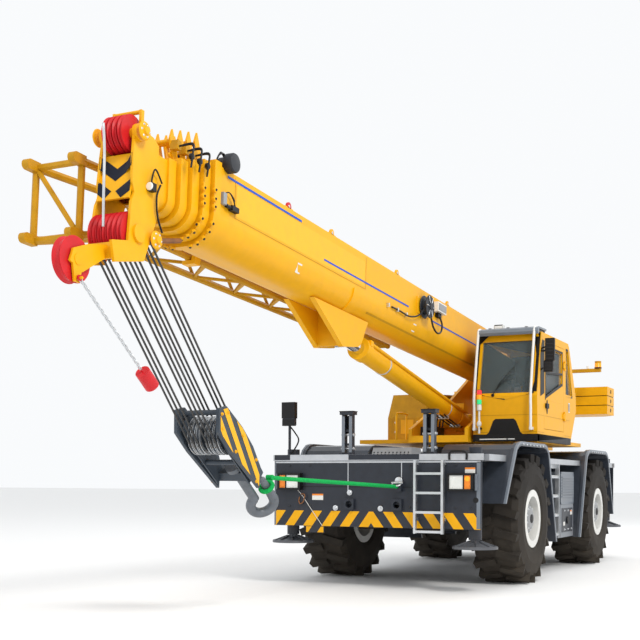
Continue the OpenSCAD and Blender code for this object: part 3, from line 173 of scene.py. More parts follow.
YELLOW = (0.78, 0.382, 0.003)
M = {
    "yellow": surface("yellow", YELLOW, 0.42, coat=0.06, vary=0.04, gloss=0.2),
    # Pale yellow: the hook block's stripes, and a painted sheen, a reflection painted as a paler field on the
    # boom's side
    "pale_yellow_and_painted_sheen": surface("pale_yellow_and_painted_sheen", (0.81, 0.42, 0.015), 0.45, coat=0.05, vary=0.04, gloss=0.2),
    # Darker yellow: seams, the rail and small fittings, and painted shade on the hood
    "dark_yellow_and_painted_shade": surface("dark_yellow_and_painted_shade", (0.5, 0.25, 0.006), 0.5, vary=0.1, bump=0.05, gloss=0.2),
    "slate": surface("slate", (0.017, 0.021, 0.031), 0.42, coat=0.1, vary=0.15, dust=0.08, gloss=0.35),
    "slate_dark": surface("slate_dark", (0.012, 0.015, 0.021), 0.5, vary=0.15, dust=0.15, dust_top=1.0),
    "edge": surface("edge", (0.5, 0.52, 0.55), 0.38, metal=0.6, vary=0.08),
    "fender": surface("fender", (0.034, 0.041, 0.055), 0.34, coat=0.25, vary=0.12, dust=0.1, gloss=0.4),
    "lip": surface("lip", (0.15, 0.175, 0.21), 0.36, coat=0.2, vary=0.08),
    "float": surface("float", (0.09, 0.1, 0.118), 0.4, metal=0.3, vary=0.15, dust=0.25),
    "cast": surface("cast", (0.018, 0.019, 0.021), 0.6, vary=0.2, dust=0.2, bump=0.15),
    "box": surface("box", (0.2, 0.22, 0.25), 0.45, vary=0.08, dust=0.3),
    "bare": surface("bare", (0.62, 0.64, 0.66), 0.32, metal=0.85, vary=0.08, bump=0.04),
    "chrome": surface("chrome", (0.75, 0.76, 0.78), 0.1, metal=1.0, vary=0.02),
    "lens": surface("lens", (0.75, 0.76, 0.74), 0.12, coat=0.6, vary=0.05),
    "black": surface("black", (0.006, 0.006, 0.007), 0.45, vary=0.2, gloss=0.3),
    "rubber": surface("rubber", (0.013, 0.0115, 0.0105), 0.8, vary=0.3, dust=0.22, bump=0.5, dust_top=1.8,
                      gloss=0.25),
    "white": surface("white", (0.72, 0.72, 0.69), 0.38, vary=0.05, dust=0.25, dust_top=1.4),
    "grey": surface("grey", (0.26, 0.27, 0.28), 0.4, vary=0.1, dust=0.3),
    "pane": clear("pane", (0.24, 0.31, 0.33), alpha=0.15),
    "seat": surface("seat", (0.02, 0.02, 0.022), 0.7, vary=0.2, bump=0.3, scale=30),
    "red": surface("red", (0.55, 0.012, 0.018), 0.4, coat=0.1, vary=0.1, gloss=0.25),
    "rope": surface("rope", (0.055, 0.055, 0.055), 0.45, metal=0.5, vary=0.3, bump=0.5, scale=120),
    "block": surface("block", (0.045, 0.058, 0.075), 0.42, vary=0.12, bump=0.04, gloss=0.3),
    "hook": surface("hook", (0.13, 0.145, 0.165), 0.45, metal=0.25, vary=0.15, bump=0.15),
    "green": surface("green", (0.01, 0.36, 0.08), 0.75, vary=0.25, bump=0.5, scale=60, gloss=0.1),
    "navy": surface("navy", (0.004, 0.006, 0.016), 0.4, vary=0.08, gloss=0.2),
    "blue": surface("blue", (0.01, 0.08, 0.45), 0.4, vary=0.05, gloss=0.2),
    "amber": glow("amber", (0.95, 0.3, 0.01), 0.5),
    "green_lamp": glow("green_lamp", (0.02, 0.6, 0.2), 0.5),
    "red_lamp": glow("red_lamp", (0.8, 0.03, 0.04), 0.5),
    "orange": surface("orange", (0.8, 0.22, 0.01), 0.45, vary=0.06),
    "brown": surface("brown", (0.2, 0.075, 0.02), 0.6, vary=0.25, bump=0.2),
}
NODE_FINISH = {
    "slate_paint": "slate", "deck_edge": "edge", "slate_paint_dark": "fender", "axle_grey": "cast",
    "engine_grey": "grey", "box_grey": "box", "step_metal": "bare", "lamp_lens": "lens",
    # The hood takes the darker yellow: painted shade
    "fitting_grey": "slate", "boom_yellow": "yellow", "hood_yellow": "dark_yellow_and_painted_shade", "cab_yellow": "yellow",
    "window": "pane", "seat_black": "seat", "fitting_black": "black", "winch_grey": "grey",
    "chrome_rod": "chrome", "sheave_red": "red", "rope_steel": "rope", "block_slate": "block",
    "hook_grey": "hook", "sling_green": "green", "weight_red": "red", "knuckle_grey": "cast",
    "tyre_rubber": "rubber", "rim_white": "white", "jack_steel": "float",
}
for n, o in frame["nodes"].items():
    m = M["grey" if n == "engine" else NODE_FINISH[SLOT[n]]]
    if not o.material_slots:
        o.data.materials.append(m)
    for s in o.material_slots:
        s.material = m


# Building pieces. Shapes are drawn from the slewing axis, in metres, unless a frame of their own is given.
SHIFT = Matrix.Translation((SLEW, 0, 0))
BOOM_FOOT, BOOM_ANGLE = (-1.35, 0, 2.95), 3.6
BOOM = SHIFT @ Matrix.Translation(BOOM_FOOT) @ Matrix.Rotation(-math.radians(BOOM_ANGLE), 4, "Y")
X, Y, Z = Vector((1, 0, 0)), Vector((0, 1, 0)), Vector((0, 0, 1))
SIDES = (-1, 1)
FRONT_X, DECK_TOP = 3.92, 1.72  # the front plate's face and the decks' top
TREES = {}


def tree(node):
    if node not in TREES:
        me = frame["nodes"][node].data
        TREES[node] = BVHTree.FromPolygons([v.co for v in me.vertices], [p.vertices for p in me.polygons])
    return TREES[node]


def round_about(count, first=0.0):
    """Angles evenly spread over a turn"""
    return [first + 2 * math.pi * k / count for k in range(count)]


def disc(r, thick):
    """Profile of a plain disc for Build.lathe"""
    return [(0, 0), (r, 0), (r, thick), (0, thick)]


class Build:
    """One piece in the making: shapes of several finishes, drawn in a frame of their own"""

    def __init__(self, place=SHIFT):
        self.bm = bmesh.new()
        self.place = place
        self.finishes = []

    def faces(self, points, loops, finish):
        if finish not in self.finishes:
            self.finishes.append(finish)
        verts = [self.bm.verts.new(self.place @ Vector(p)) for p in points]
        for loop in loops:
            f = self.bm.faces.new([verts[i] for i in loop])
            f.material_index, f.smooth = self.finishes.index(finish), True

    def box(self, a, b, finish):
        p = [(x, y, z) for x in (a[0], b[0]) for y in (a[1], b[1]) for z in (a[2], b[2])]
        self.faces(p, [(0, 1, 3, 2), (4, 6, 7, 5), (0, 4, 5, 1), (2, 3, 7, 6), (0, 2, 6, 4), (1, 5, 7, 3)],
                   finish)

    def prism(self, outline, axis, a, b, finish):
        """Outline in the other two axes, from a to b along this one"""
        n = len(outline)
        ends = [[(*p[:axis], t, *p[axis:]) for p in outline] for t in (a, b)]
        sides = [(i, (i + 1) % n, n + (i + 1) % n, n + i) for i in range(n)]
        self.faces(ends[0] + ends[1], [tuple(range(n))[::-1], tuple(range(n, 2 * n))] + sides, finish)

    def lathe(self, profile, at, along, finish, n=24, start=0.0):
        """Profile of (radius, distance) turned about the line through a point"""
        d = Vector(along).normalized()
        u = (Z if abs(d.z) < 0.9 else X).cross(d).normalized()
        v = d.cross(u)
        points, rings, loops = [], [], []
        for r, t in profile:
            count = 1 if r < 1e-6 else n
            rings.append(list(range(len(points), len(points) + count)))
            for i in range(count):
                a = start + 2 * math.pi * i / n
                points.append(Vector(at) + d * t + r * (u * math.cos(a) + v * math.sin(a)))
        for p, q in zip(rings, rings[1:]):
            for i in range(n):
                j = (i + 1) % n
                if len(p) > 1 and len(q) > 1:
                    loops.append((p[i], p[j], q[j], q[i]))
                elif len(q) > 1:
                    loops.append((p[0], q[j], q[i]))
                elif len(p) > 1:
                    loops.append((p[i], p[j], q[0]))
        self.faces(points, loops, finish)

    def rod(self, a, b, r, finish, n=14):
        d = Vector(b) - Vector(a)
        self.lathe(disc(r, d.length), a, d, finish, n)

    def bolt(self, at, along, r, finish):
        self.lathe([(0, -0.004), (r * 1.5, -0.004), (r * 1.5, r * 0.25), (r, r * 0.25), (r, r), (0, r * 1.1)],
                   at, along, finish, 6)

    def tube(self, path, r, finish, n=10, round_steps=6):
        """Round tube along a smooth line through the points"""
        p = [Vector(q) for q in path]
        line = []
        for i in range(len(p) - 1):
            a, b, c, d = p[max(i - 1, 0)], p[i], p[i + 1], p[min(i + 2, len(p) - 1)]
            for k in range(round_steps):
                t = k / round_steps
                line.append(0.5 * (2 * b + (c - a) * t + (2 * a - 5 * b + 4 * c - d) * t * t
                                   + (3 * b - a - 3 * c + d) * t ** 3))
        line.append(p[-1])
        points, loops = [], []
        u = (line[1] - line[0]).orthogonal().normalized()
        for i, q in enumerate(line):
            d = (line[min(i + 1, len(line) - 1)] - line[max(i - 1, 0)]).normalized()
            u = (u - d * u.dot(d)).normalized()
            v = d.cross(u)
            points += [q + r * (u * math.cos(a) + v * math.sin(a)) for a in round_about(n)]
        for i in range(len(line) - 1):
            for k in range(n):
                j = (k + 1) % n
                loops.append((i * n + k, i * n + j, i * n + n + j, i * n + n + k))
        last = (len(line) - 1) * n
        loops += [tuple(range(n))[::-1], tuple(range(last, last + n))]
        self.faces(points, loops, finish)

    def paint(self, outline, toward, node, finish, lift=0.0025, step=0.15, bands=None):
        """Painted field: an outline laid on a node. Bands are (direction, width, start, finishes)."""
        d = (self.place.to_3x3() @ Vector(toward)).normalized()
        back = self.place.inverted()
        bm = bmesh.new()
        bm.faces.new([bm.verts.new(self.place @ Vector(c)) for c in outline])

        def cut(axis, first, width):
            reach = [axis.dot(q.co) for q in bm.verts]
            k = math.floor((min(reach) - first) / width) + 1
            while first + k * width < max(reach):
                whole = bm.verts[:] + bm.edges[:] + bm.faces[:]
                bmesh.ops.bisect_plane(bm, geom=whole, plane_co=axis * (first + k * width), plane_no=axis)
                k += 1

        u = d.orthogonal().normalized()
        for axis in (u, d.cross(u)):
            cut(axis, 0.0, step)
        if bands:
            across = (self.place.to_3x3() @ Vector(bands[0])).normalized()
            first = across.dot(self.place.translation) + bands[2]
            cut(across, first, bands[1])
        names = {}
        for f in bm.faces:
            row = math.floor((across.dot(f.calc_center_median()) - first) / bands[1]) if bands else 0
            names[f] = bands[3][row % len(bands[3])] if bands else finish
        landed = {}
        for q in bm.verts:
            hit = tree(node).ray_cast(q.co, d)
            if hit[0] is not None:
                landed[q] = back @ (hit[0] - d * lift)
        for f, name in names.items():
            if name and all(q in landed for q in f.verts):
                self.faces([landed[q] for q in f.verts], [tuple(range(len(f.verts)))], name)
        bm.free()

    def done(self, name, body, bevel=0.003):
        bmesh.ops.remove_doubles(self.bm, verts=self.bm.verts[:], dist=1e-5)
        bmesh.ops.recalc_face_normals(self.bm, faces=self.bm.faces[:])
        for e in self.bm.edges:
            if len(e.link_faces) == 2 and e.calc_face_angle() > 0.55:
                e.smooth = False
        me = bpy.data.meshes.new(name)
        self.bm.to_mesh(me)
        self.bm.free()
        ob = bpy.data.objects.new(name, me)
        bpy.context.scene.collection.objects.link(ob)
        for f in self.finishes:
            me.materials.append(M[f])
        if bevel:
            b = ob.modifiers.new("edges", "BEVEL")
            b.width, b.segments, b.limit_method, b.angle_limit = bevel, 1, "ANGLE", 0.6
            b.use_clamp_overlap = True
        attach(ob, body)
        return ob


# Boom
marks = Build(BOOM)
for s in SIDES:
    way = (0, -s, 0)

    def strip(u0, u1, w, half, finish, lift=0.003):
        """Line along the boom's side, from u0 to u1 and half wide on each side of w"""
        marks.paint([(u0, s, w - half), (u1, s, w - half), (u1, s, w + half), (u0, s, w + half)],
                    way, "boom_base", finish, lift, step=0.6)

    # Two blue lines, the seams of the side's upper plate and the dark rail under the side
    strip(7.95, 9.45, 0.645, 0.012, "blue")
    strip(4.9, 7.4, 0.378, 0.011, "blue")
    strip(1.95, 4.08, 0.362, 0.011, "blue")
    strip(6.28, 9.3, 0.3, 0.004, "dark_yellow_and_painted_shade")
    strip(1.2, 6.1, 0.062, 0.01, "dark_yellow_and_painted_shade", 0.006)
    strip(6.272, 6.28, 0.49, 0.19, "dark_yellow_and_painted_shade")
    strip(9.3, 9.308, 0.49, 0.19, "dark_yellow_and_painted_shade")
    # Paler field over the side's upper half: painted sheen, a reflection painted into the colour
    strip(6.3, 9.28, 0.47, 0.15, "pale_yellow_and_painted_sheen", 0.0015)
    for u in (4.6, 7.9):
        strip(u, u + 0.1, 0.15, 0.05, "white")
marks.done("boom_marks", "boom", 0)

gear = Build(BOOM)
side_y, top_w = 0.31, 0.704  # where fittings stand on the boom's side and top
reel_u, reel_w = 4.42, 0.47
# Hose reel with its box and hoses on the cab's side
gear.box((reel_u - 0.22, side_y, 0.36), (4.62, 0.322, 0.58), "yellow")
gear.lathe([(0, 0), (0.05, 0), (0.05, 0.012), (0.15, 0.014), (0.155, 0.022), (0.15, 0.03), (0.095, 0.034),
            (0.095, 0.088), (0.15, 0.092), (0.155, 0.1), (0.15, 0.108), (0.05, 0.11), (0.045, 0.13),
            (0, 0.13)], (reel_u, side_y + 0.012, reel_w), Y, "slate_dark", 32)
for a in round_about(6):
    gear.rod((reel_u + 0.05 * math.cos(a), 0.437, reel_w + 0.05 * math.sin(a)),
             (reel_u + 0.145 * math.cos(a), 0.437, reel_w + 0.145 * math.sin(a)), 0.007, "bare", 8)
gear.box((3.7, side_y, 0.5), (4.02, 0.395, 0.63), "white")
gear.box((3.72, 0.395, 0.52), (4.0, 0.403, 0.61), "grey")
gear.box((3.8, side_y, 0.44), (3.92, 0.36, 0.5), "black")
gear.tube([(4.3, 0.4, 0.34), (4.22, 0.4, 0.24), (4.04, 0.39, 0.19), (3.86, 0.38, 0.24), (3.8, 0.37, 0.36),
           (3.86, 0.35, 0.45)], 0.013, "black")
gear.tube([(4.55, 0.4, 0.42), (4.7, 0.37, 0.3), (4.95, 0.345, 0.24), (5.25, 0.335, 0.25), (5.5, 0.33, 0.25)],
          0.011, "black")
for u in (5.0, 5.3, 5.6):
    gear.box((u, 0.309, 0.225), (u + 0.03, 0.345, 0.275), "bare")
# Camera with its plugs, and the cable drum, at the front of the base section
gear.box((9.3, side_y, 0.335), (9.42, 0.36, 0.385), "black")
gear.rod((9.42, 0.335, 0.36), (9.5, 0.335, 0.36), 0.018, "black")
gear.box((9.5, side_y, 0.36), (9.56, 0.345, 0.47), "grey")
for k in range(2):
    gear.tube([(9.36, 0.34 + 0.01 * k, 0.385), (9.38 + 0.02 * k, 0.345, 0.45), (9.46, 0.34, 0.49),
               (9.53, 0.33, 0.46)], 0.006, "black")
gear.lathe([(0, 0), (0.06, 0), (0.066, 0.01), (0.066, 0.07), (0.088, 0.078), (0.092, 0.09), (0.092, 0.155),
            (0.084, 0.17), (0.03, 0.174), (0, 0.174)], (9.46, 0.23, 0.762), Y, "slate_dark", 28)
gear.box((9.4, 0.2, 0.7), (9.52, 0.26, 0.78), "black")
for k in range(3):
    gear.tube([(9.44 + 0.03 * k, 0.29, 0.82), (9.52 + 0.02 * k, 0.3, 0.84), (9.6, 0.3, 0.8),
               (9.62, 0.28, 0.72)], 0.008, "black")
# Lugs, rope guides and pipe clamps along the top
for u, tip in ((3.3, None), (5.2, None), (7.12, None), (8.15, "red")):
    for s in SIDES:
        gear.box((u - 0.09, s * 0.255 - 0.012, 0.702), (u + 0.09, s * 0.255 + 0.012, 0.74), "yellow")
        gear.lathe(disc(0.045, 0.024), (u, s * 0.255 - 0.012, 0.75), Y, tip or "yellow", 20)
    gear.rod((u, -0.27, 0.752), (u, 0.27, 0.752), 0.016, "bare")
for u in (0.8, 2.6, 4.4, 6.2, 8.6):
    gear.box((u - 0.05, -0.2, top_w), (u + 0.05, -0.12, 0.728), "yellow")
    gear.rod((u, -0.22, 0.742), (u, -0.1, 0.742), 0.012, "bare", 10)
for y, w, r, tone in ((-0.16, 0.722, 0.014, "bare"), (-0.19, 0.72, 0.011, "black")):
    gear.tube([(u, y, w) for u in (0.4, 3.0, 6.0, 9.3)], r, tone, round_steps=2)
# Hoist rope along the top
gear.tube([(0.2, 0.03, 0.76), (4.0, 0.03, 0.765), (9.6, 0.03, 0.78)], 0.01, "rope", round_steps=2)
for u in (2.0, 6.6):
    gear.box((u - 0.03, -0.05, top_w), (u + 0.03, -0.03, 0.8), "yellow")
    gear.box((u - 0.03, 0.09, top_w), (u + 0.03, 0.11, 0.8), "yellow")
    gear.lathe([(0, 0), (0.03, 0), (0.03, 0.02), (0.018, 0.03), (0.018, 0.09), (0.03, 0.1), (0.03, 0.12),
                (0, 0.12)], (u, -0.03, 0.735), Y, "grey", 18)
gear.done("boom_gear", "boom")

# Bolted pads round the sections' collars
back, turn = BOOM.inverted(), BOOM.to_3x3()
for body, node in (("boom", "boom_base"), ("boom_2", "section_2"), ("boom_3", "section_3"),
                   ("boom_4", "section_4")):
    u = max((back @ v.co).x for v in frame["nodes"][node].data.vertices) - 0.045
    collar = Build(BOOM)
    for s in SIDES:
        for k in range(9):
            a = math.radians(26 - 12.5 * k)
            out = Vector((0, s * math.cos(a), math.sin(a)))
            hit = tree(node).ray_cast(BOOM @ (Vector((u, 0, 0.28)) + out * 1.2), -(turn @ out))
            if hit[0] is None or k == 3:
                continue
            at, way = back @ hit[0], turn.inverted() @ hit[1]
            collar.lathe([(0, -0.004), (0.026, -0.004), (0.026, 0.014), (0.02, 0.018), (0, 0.018)], at, way,
                         "yellow", 8)
            collar.bolt(at + way * 0.018, way, 0.009, "cast")
    if body != "boom":
        for k in range(2):
            collar.tube([(u, 0.2 + 0.02 * k, 0.73), (u - 0.01, 0.33, 0.74 - 0.01 * k), (u, 0.345, 0.66),
                         (u + 0.01, 0.335, 0.58 - 0.06 * k)], 0.009, "black")
        collar.box((u - 0.03, 0.12, 0.7), (u + 0.03, 0.2, 0.78), "dark_yellow_and_painted_shade")
        collar.lathe([(0, 0), (0.024, 0), (0.028, 0.008), (0.028, 0.03), (0, 0.034)], (u, 0.315, 0.62), Y,
                     "black", 16)
    collar.done("collar_gear_" + body, body, 0)

# Boom head
head = Build(BOOM)
for w in (0.03, 0.245):
    for s in SIDES:
        head.paint([(12.5, 0, w), (12.5, s * 0.165, w + 0.115), (12.5, s * 0.165, w + 0.225),
                    (12.5, 0, w + 0.11)], (-1, 0, 0), "boom_head", "navy", step=0.08)
# Rope before the chevrons, the lamp, the brown bar and the hoses
head.tube([(10.93, 0.02, 0.66), (10.9, 0.02, 0.45), (10.88, 0.015, 0.1), (10.86, 0.01, -0.18)], 0.012, "bare",
          round_steps=3)
head.box((10.46, 0.19, 0.2), (10.52, 0.24, 0.27), "black")
head.lathe([(0, 0), (0.03, 0), (0.036, 0.01), (0.03, 0.02), (0, 0.022)], (10.52, 0.215, 0.235), X, "lens", 18)
head.rod((9.98, 0.17, -0.08), (10.42, 0.19, -0.2), 0.022, "brown")
head.tube([(10.35, 0.2, 0.3), (10.42, 0.215, 0.18), (10.4, 0.215, 0.02), (10.3, 0.2, -0.1)], 0.009, "black")
head.tube([(10.33, 0.2, 0.32), (10.46, 0.22, 0.4), (10.5, 0.215, 0.3), (10.48, 0.21, 0.26)], 0.008, "black")
for u, w in ((10.43, -0.2), (10.66, 0.66)):
    for s in SIDES:
        head.lathe([(0, 0), (0.075, 0), (0.08, 0.008), (0.07, 0.02), (0.035, 0.022), (0.03, 0.04),
                    (0, 0.042)], (u, s * 0.228, w), (0, s, 0), "yellow", 28)
        for a in round_about(6):
            head.bolt((u + 0.053 * math.cos(a), s * 0.248, w + 0.053 * math.sin(a)), (0, s, 0), 0.008, "bare")
head.done("head_gear", "boom_5", 0.002)

# Hook block: bars and bolts on the cheeks, bright flanges of the sheaves
BLOCK_AT, BLOCK_LEAN = (7.79, 0, 1.811), 46
BLOCK = SHIFT @ Matrix.Translation(BLOCK_AT) @ Matrix.Rotation(math.radians(BLOCK_LEAN), 4, "Y")
CHEEK = ((0.024, 0.366), (-0.088, 0.293), (-0.16, -0.04), (-0.176, -0.316), (-0.137, -0.563), (0.028, -0.695),
         (0.159, -0.056), (0.182, 0.213))
tackle = Build(BLOCK)
for s in SIDES:
    inner = [(0.93 * x, s, 0.955 * z - 0.006) for x, z in CHEEK]
    tackle.paint(inner, (0, -s, 0), "hook_block", None, step=2.0,
                 bands=((0.98, 0, 0.2), 0.074, -0.03, ("pale_yellow_and_painted_sheen", None)))
    for x, z in ((0.03, 0.3), (-0.06, 0.24), (0.12, 0.2), (-0.1, -0.1), (0.1, -0.12), (-0.12, -0.45),
                 (0.03, -0.6)):
        tackle.bolt((x, s * 0.251, z), (0, s, 0), 0.013, "yellow")
for i in (-3, -2, -1, 1, 2, 3):
    for e in SIDES:
        y = i * 0.049 + e * 0.0165
        tackle.lathe([(0.15, -0.0025), (0.186, -0.0025), (0.188, 0), (0.186, 0.0025), (0.15, 0.0025),
                      (0.15, -0.0025)], (0, y, 0), Y, "bare", 40)
tackle.lathe([(0, 0), (0.075, 0), (0.08, 0.01), (0.08, 0.05), (0.072, 0.06), (0, 0.06)], (-0.08, 0, -0.535),
             Z, "bare", 6)
tackle.done("block_gear", "block", 0.002)

# Chain that the limit weight hangs on
chain = Build(Matrix.Identity(4))
top = Vector(JOINTS["limit_bob_swing"]["pos_m"])
BOB_LEAN, CHAIN_L, LINKS = math.radians(52), 1.03, 30
end = top - CHAIN_L * Vector((math.sin(BOB_LEAN), 0, math.cos(BOB_LEAN)))
run = (end - top).normalized()
side = run.cross(Y)
for k in range(LINKS):
    at = top.lerp(end, (k + 0.5) / LINKS)
    wide = Y if k % 2 else side
    turns = [2 * math.pi * j / 12 for j in range(13)]
    ring = [at + run * 0.026 * math.cos(a) + wide * 0.015 * math.sin(a) for a in turns]
    chain.tube(ring, 0.0045, "bare", 6, 1)
chain.rod(top + run * 0.03, end, 0.0085, "bare", 12)
chain.done("limit_chain", "limit_bob", 0)

# Front of the carrier
front = Build()
plate_low, plate_mid, half, sill = low("end_plates").z, -0.03, 1.425, 0.7925
BAR_PITCH, BAR_SLOPE = 0.108, 0.81


def field(y0, y1, z0, z1, finish, lift=0.004, node="end_plates", step=4.0, bands=None):
    """Upright rectangle laid on the carrier's front"""
    front.paint([(5, y0, z0), (5, y1, z0), (5, y1, z1), (5, y0, z1)], (-1, 0, 0), node, finish, lift, step,
                bands)


# Slanted warning bars, mirrored about the plate's middle, the plate's dark rims and bright upper edge
for y0, y1, z0, z1, turn in ((-half + 0.005, plate_mid, sill, 0.99, 1),
                             (half - 0.005, plate_mid, sill, 0.99, -1),
                             (-0.956, -0.704, plate_low + 0.004, sill - 0.008, 1)):
    first = 0.02 + (BAR_SLOPE * 2 * -plate_mid if turn < 0 else 0)
    field(y0, y1, z0, z1, None, 0.0025, step=3.0,
          bands=((0, turn * BAR_SLOPE, -0.585), BAR_PITCH, first, ("yellow", None)))
for y0, y1 in ((1.37, 1.42), (-1.42, -1.405)):
    field(y0, y1, 0.8, 1.62, "lip", step=2.0)
field(-1.42, 1.42, 1.612, 1.632, "edge")
for y0, y1 in ((-1.43, -1.2), (-0.35, 0.62)):
    field(y0, y1, 1.651, 1.719, "slate", 0.003, "decks")
# Seams of the plate
for y in (-0.36, 0.38):
    field(y, y + 0.012, 1.26, 1.62, "edge", 0.003)
for y0, y1 in ((-1.02, 0.38), (0.38, 0.58)):
    field(y0, y1, 1.3, 1.308, "black", 0.003)
# Plugs and bolts
for y, z in ((-0.53, 1.03), (-0.33, 1.23), (0.1, 1.03)):
    front.lathe([(0, 0), (0.036, 0), (0.036, 0.012), (0.022, 0.014), (0.02, 0.03), (0, 0.032)],
                (FRONT_X, y, z), X, "bare", 20)
front.lathe([(0.03, 0), (0.036, 0.004), (0.03, 0.006), (0, 0.0065)], (FRONT_X + 0.001, 1.36, 1.15), X,
            "black", 20)
for y in (-1.2, -0.9, 0.5, 1.1, 1.3):
    for z in (1.58, 1.05):
        front.bolt((FRONT_X + 0.001, y, z), X, 0.011, "slate_dark")
# Blank stickers of white and orange
for y0, y1, z0, z1 in ((1.22, 1.35, 1.475, 1.55), (-0.87, -0.71, 1.13, 1.21)):
    front.box((3.918, y0, z0), (3.9235, y1, z1), "white")
    front.box((FRONT_X, y0, z1 - 0.022), (3.9245, y1, z1), "orange")
# Headlamps: frame, divider and the amber third
LAMP_Y, LAMP_Z = 1.18, 1.37
for s in SIDES:
    y, z = s * LAMP_Y, LAMP_Z
    for a, b in (((-0.168, -0.112), (0.168, -0.083)), ((-0.168, 0.083), (0.168, 0.112)),
                 ((-0.168, -0.09), (-0.138, 0.09)), ((0.138, -0.09), (0.168, 0.09))):
        front.box((FRONT_X, y + a[0], z + a[1]), (4.004, y + b[0], z + b[1]), "black")
    front.box((3.985, y + s * 0.045 - 0.008, z - 0.085), (3.998, y + s * 0.045 + 0.008, z + 0.085), "black")
    for k in (0, 1):
        front.lathe([(0.036, 0), (0.03, 0.006), (0, 0.012)], (3.989, y + s * 0.093, z - 0.042 + k * 0.084), X,
                    ("orange", "amber")[k], 20)
    front.box((3.985, y + s * 0.053, z - 0.085), (3.9925, y + s * 0.138, z + 0.085), "orange")
    for k in range(-3, 4):
        front.box((3.989, y - s * 0.05 + k * 0.024 - 0.002, z - 0.08),
                  (3.9925, y - s * 0.05 + k * 0.024 + 0.002, z + 0.08), "lens")
    front.box((FRONT_X, y + s * 0.175, z - 0.1), (3.955, y + s * 0.205, z + 0.1), "lip")
# Carrying handle, ring and thin safety line on the plate
front.tube([(3.93, 1.02, 1.645), (3.93, 1.02, 1.72), (3.93, 1.06, 1.75), (3.93, 1.2, 1.75),
            (3.93, 1.24, 1.72), (3.93, 1.24, 1.645)], 0.014, "black")
front.tube([(3.93, -1.03, 1.2), (3.95, -1.0, 1.21), (3.96, -0.96, 1.19), (3.95, -0.99, 1.1),
            (3.94, -1.04, 1.08), (3.93, -1.06, 1.12), (3.93, -1.05, 1.17)], 0.008, "brown")
front.tube([(3.925, -1.12, 1.3), (3.93, -1.0, 1.17), (3.93, -0.85, 0.97), (3.93, -0.72, 0.8)], 0.004, "white")
# Shackle of the sling
front.lathe([(0, 0), (0.05, 0), (0.055, 0.01), (0.05, 0.02), (0.025, 0.024), (0, 0.026)], (3.93, 0.355, 1.38),
            X, "bare", 18)
front.tube([(3.98, 0.3, 1.36), (4.04, 0.3, 1.33), (4.06, 0.355, 1.32), (4.04, 0.41, 1.33),
            (3.98, 0.41, 1.36)], 0.011, "bare")
front.rod((3.99, 0.28, 1.36), (3.99, 0.43, 1.36), 0.013, "bare")
# Pins, hinges and rubber stops of the folding posts
post_x = 3.755
for y in (-0.43, 0.7):
    for z in (1.8, 1.98):
        front.rod((post_x, y - 0.095, z), (post_x, y + 0.095, z), 0.016, "bare")
        for s in SIDES:
            front.bolt((post_x, y + s * 0.073, z), (0, s, 0), 0.016, "bare")
    front.box((3.7, y - 0.03, 2.0), (3.73, y + 0.03, 2.23), "black")
    front.box((3.68, y - 0.1, 2.279), (3.83, y + 0.1, 2.288), "black")
    for s in SIDES:
        front.box((3.798, y + s * 0.052 - 0.021, 1.75), (3.804, y + s * 0.052 + 0.021, 2.22), "lip")
# Mirror housings and the looped arm beneath
front.box((3.75, -1.378, 2.21), (3.83, -1.182, 2.425), "black")
front.box((3.755, -1.372, 2.11), (3.825, -1.2, 2.195), "black")
front.tube([(3.78, -1.28, 1.72), (3.79, -1.2, 1.8), (3.79, -1.14, 1.92), (3.785, -1.2, 2.02),
            (3.78, -1.27, 2.1)], 0.01, "black")
# Perforated cover on the deck
front.prism([(2.72, DECK_TOP + 0.002), (3.16, DECK_TOP + 0.002), (3.1, 1.83), (2.78, 1.83)], 1, -0.36, 0.2,
            "grey")
for i in range(10):
    y = -0.33 + i * 0.055
    for j in range(4):
        front.lathe([(0.014, 0), (0, 0.001)], (2.82 + j * 0.08, y, 1.831), Z, "black", 8)
        front.lathe([(0.012, 0), (0, 0.001)], (3.153 - j * 0.016, y, 1.738 + j * 0.026), (0.87, 0, 0.48),
                    "black", 8)
front.done("front_details", "carrier", 0.002)

# Fenders
# Edge of a fender from its foot over the wheel: x from the axle, z (None is the foot's), outwards in x and z
LIP = ((1.27, None, 1, 0), (0.845, 1.73, 1, 0.3), (0.8, 1.8, 0.8, 0.5), (0.695, 1.862, 0.5, 0.9),
       (0.585, 1.88, 0.3, 1), (-0.585, 1.88, -0.3, 1), (-0.695, 1.862, -0.5, 0.9), (-0.8, 1.8, -0.8, 0.5),
       (-0.845, 1.73, -1, 0.3), (-1.28, 0.5, -1, 0))
LIP_SECTION = ((0.029, 1.563), (-0.006, 1.563), (-0.006, 1.53), (0.029, 1.53))  # out from the edge, y
fend = Build()
for e, foot in ((1, 1.1), (-1, 0.8)):
    for s in SIDES:
        points = [(e * (AXLE_X + x + off * ax), s * y, (foot if z is None else z) + off * az)
                  for off, y in LIP_SECTION for x, z, ax, az in LIP]
        n = len(LIP)
        loops = [(k * n + i, k * n + i + 1, (k + 1) % 4 * n + i + 1, (k + 1) % 4 * n + i)
                 for k in range(4) for i in range(n - 1)]
        fend.faces(points, loops + [(0, n, 2 * n, 3 * n), (n - 1, 2 * n - 1, 3 * n - 1, 4 * n - 1)], "lip")
        for i in range(12):
            for j in range(4):
                fend.lathe([(0.017, 0), (0.012, 0.003), (0, 0.0035)],
                           (e * AXLE_X - 0.5 + i * 0.091, s * (1.06 + j * 0.13), 1.8805), Z, "black", 8)
        for i in range(7):
            fend.bolt((e * (AXLE_X - 0.5 + i * 0.166), s * 1.564, 1.872), (0, s, 0), 0.009, "bare")
fend.done("fender_lips", "carrier", 0.002)

# The carrier's sides between the wheels, and the decks above
flank = Build()
flank_y = 1.435
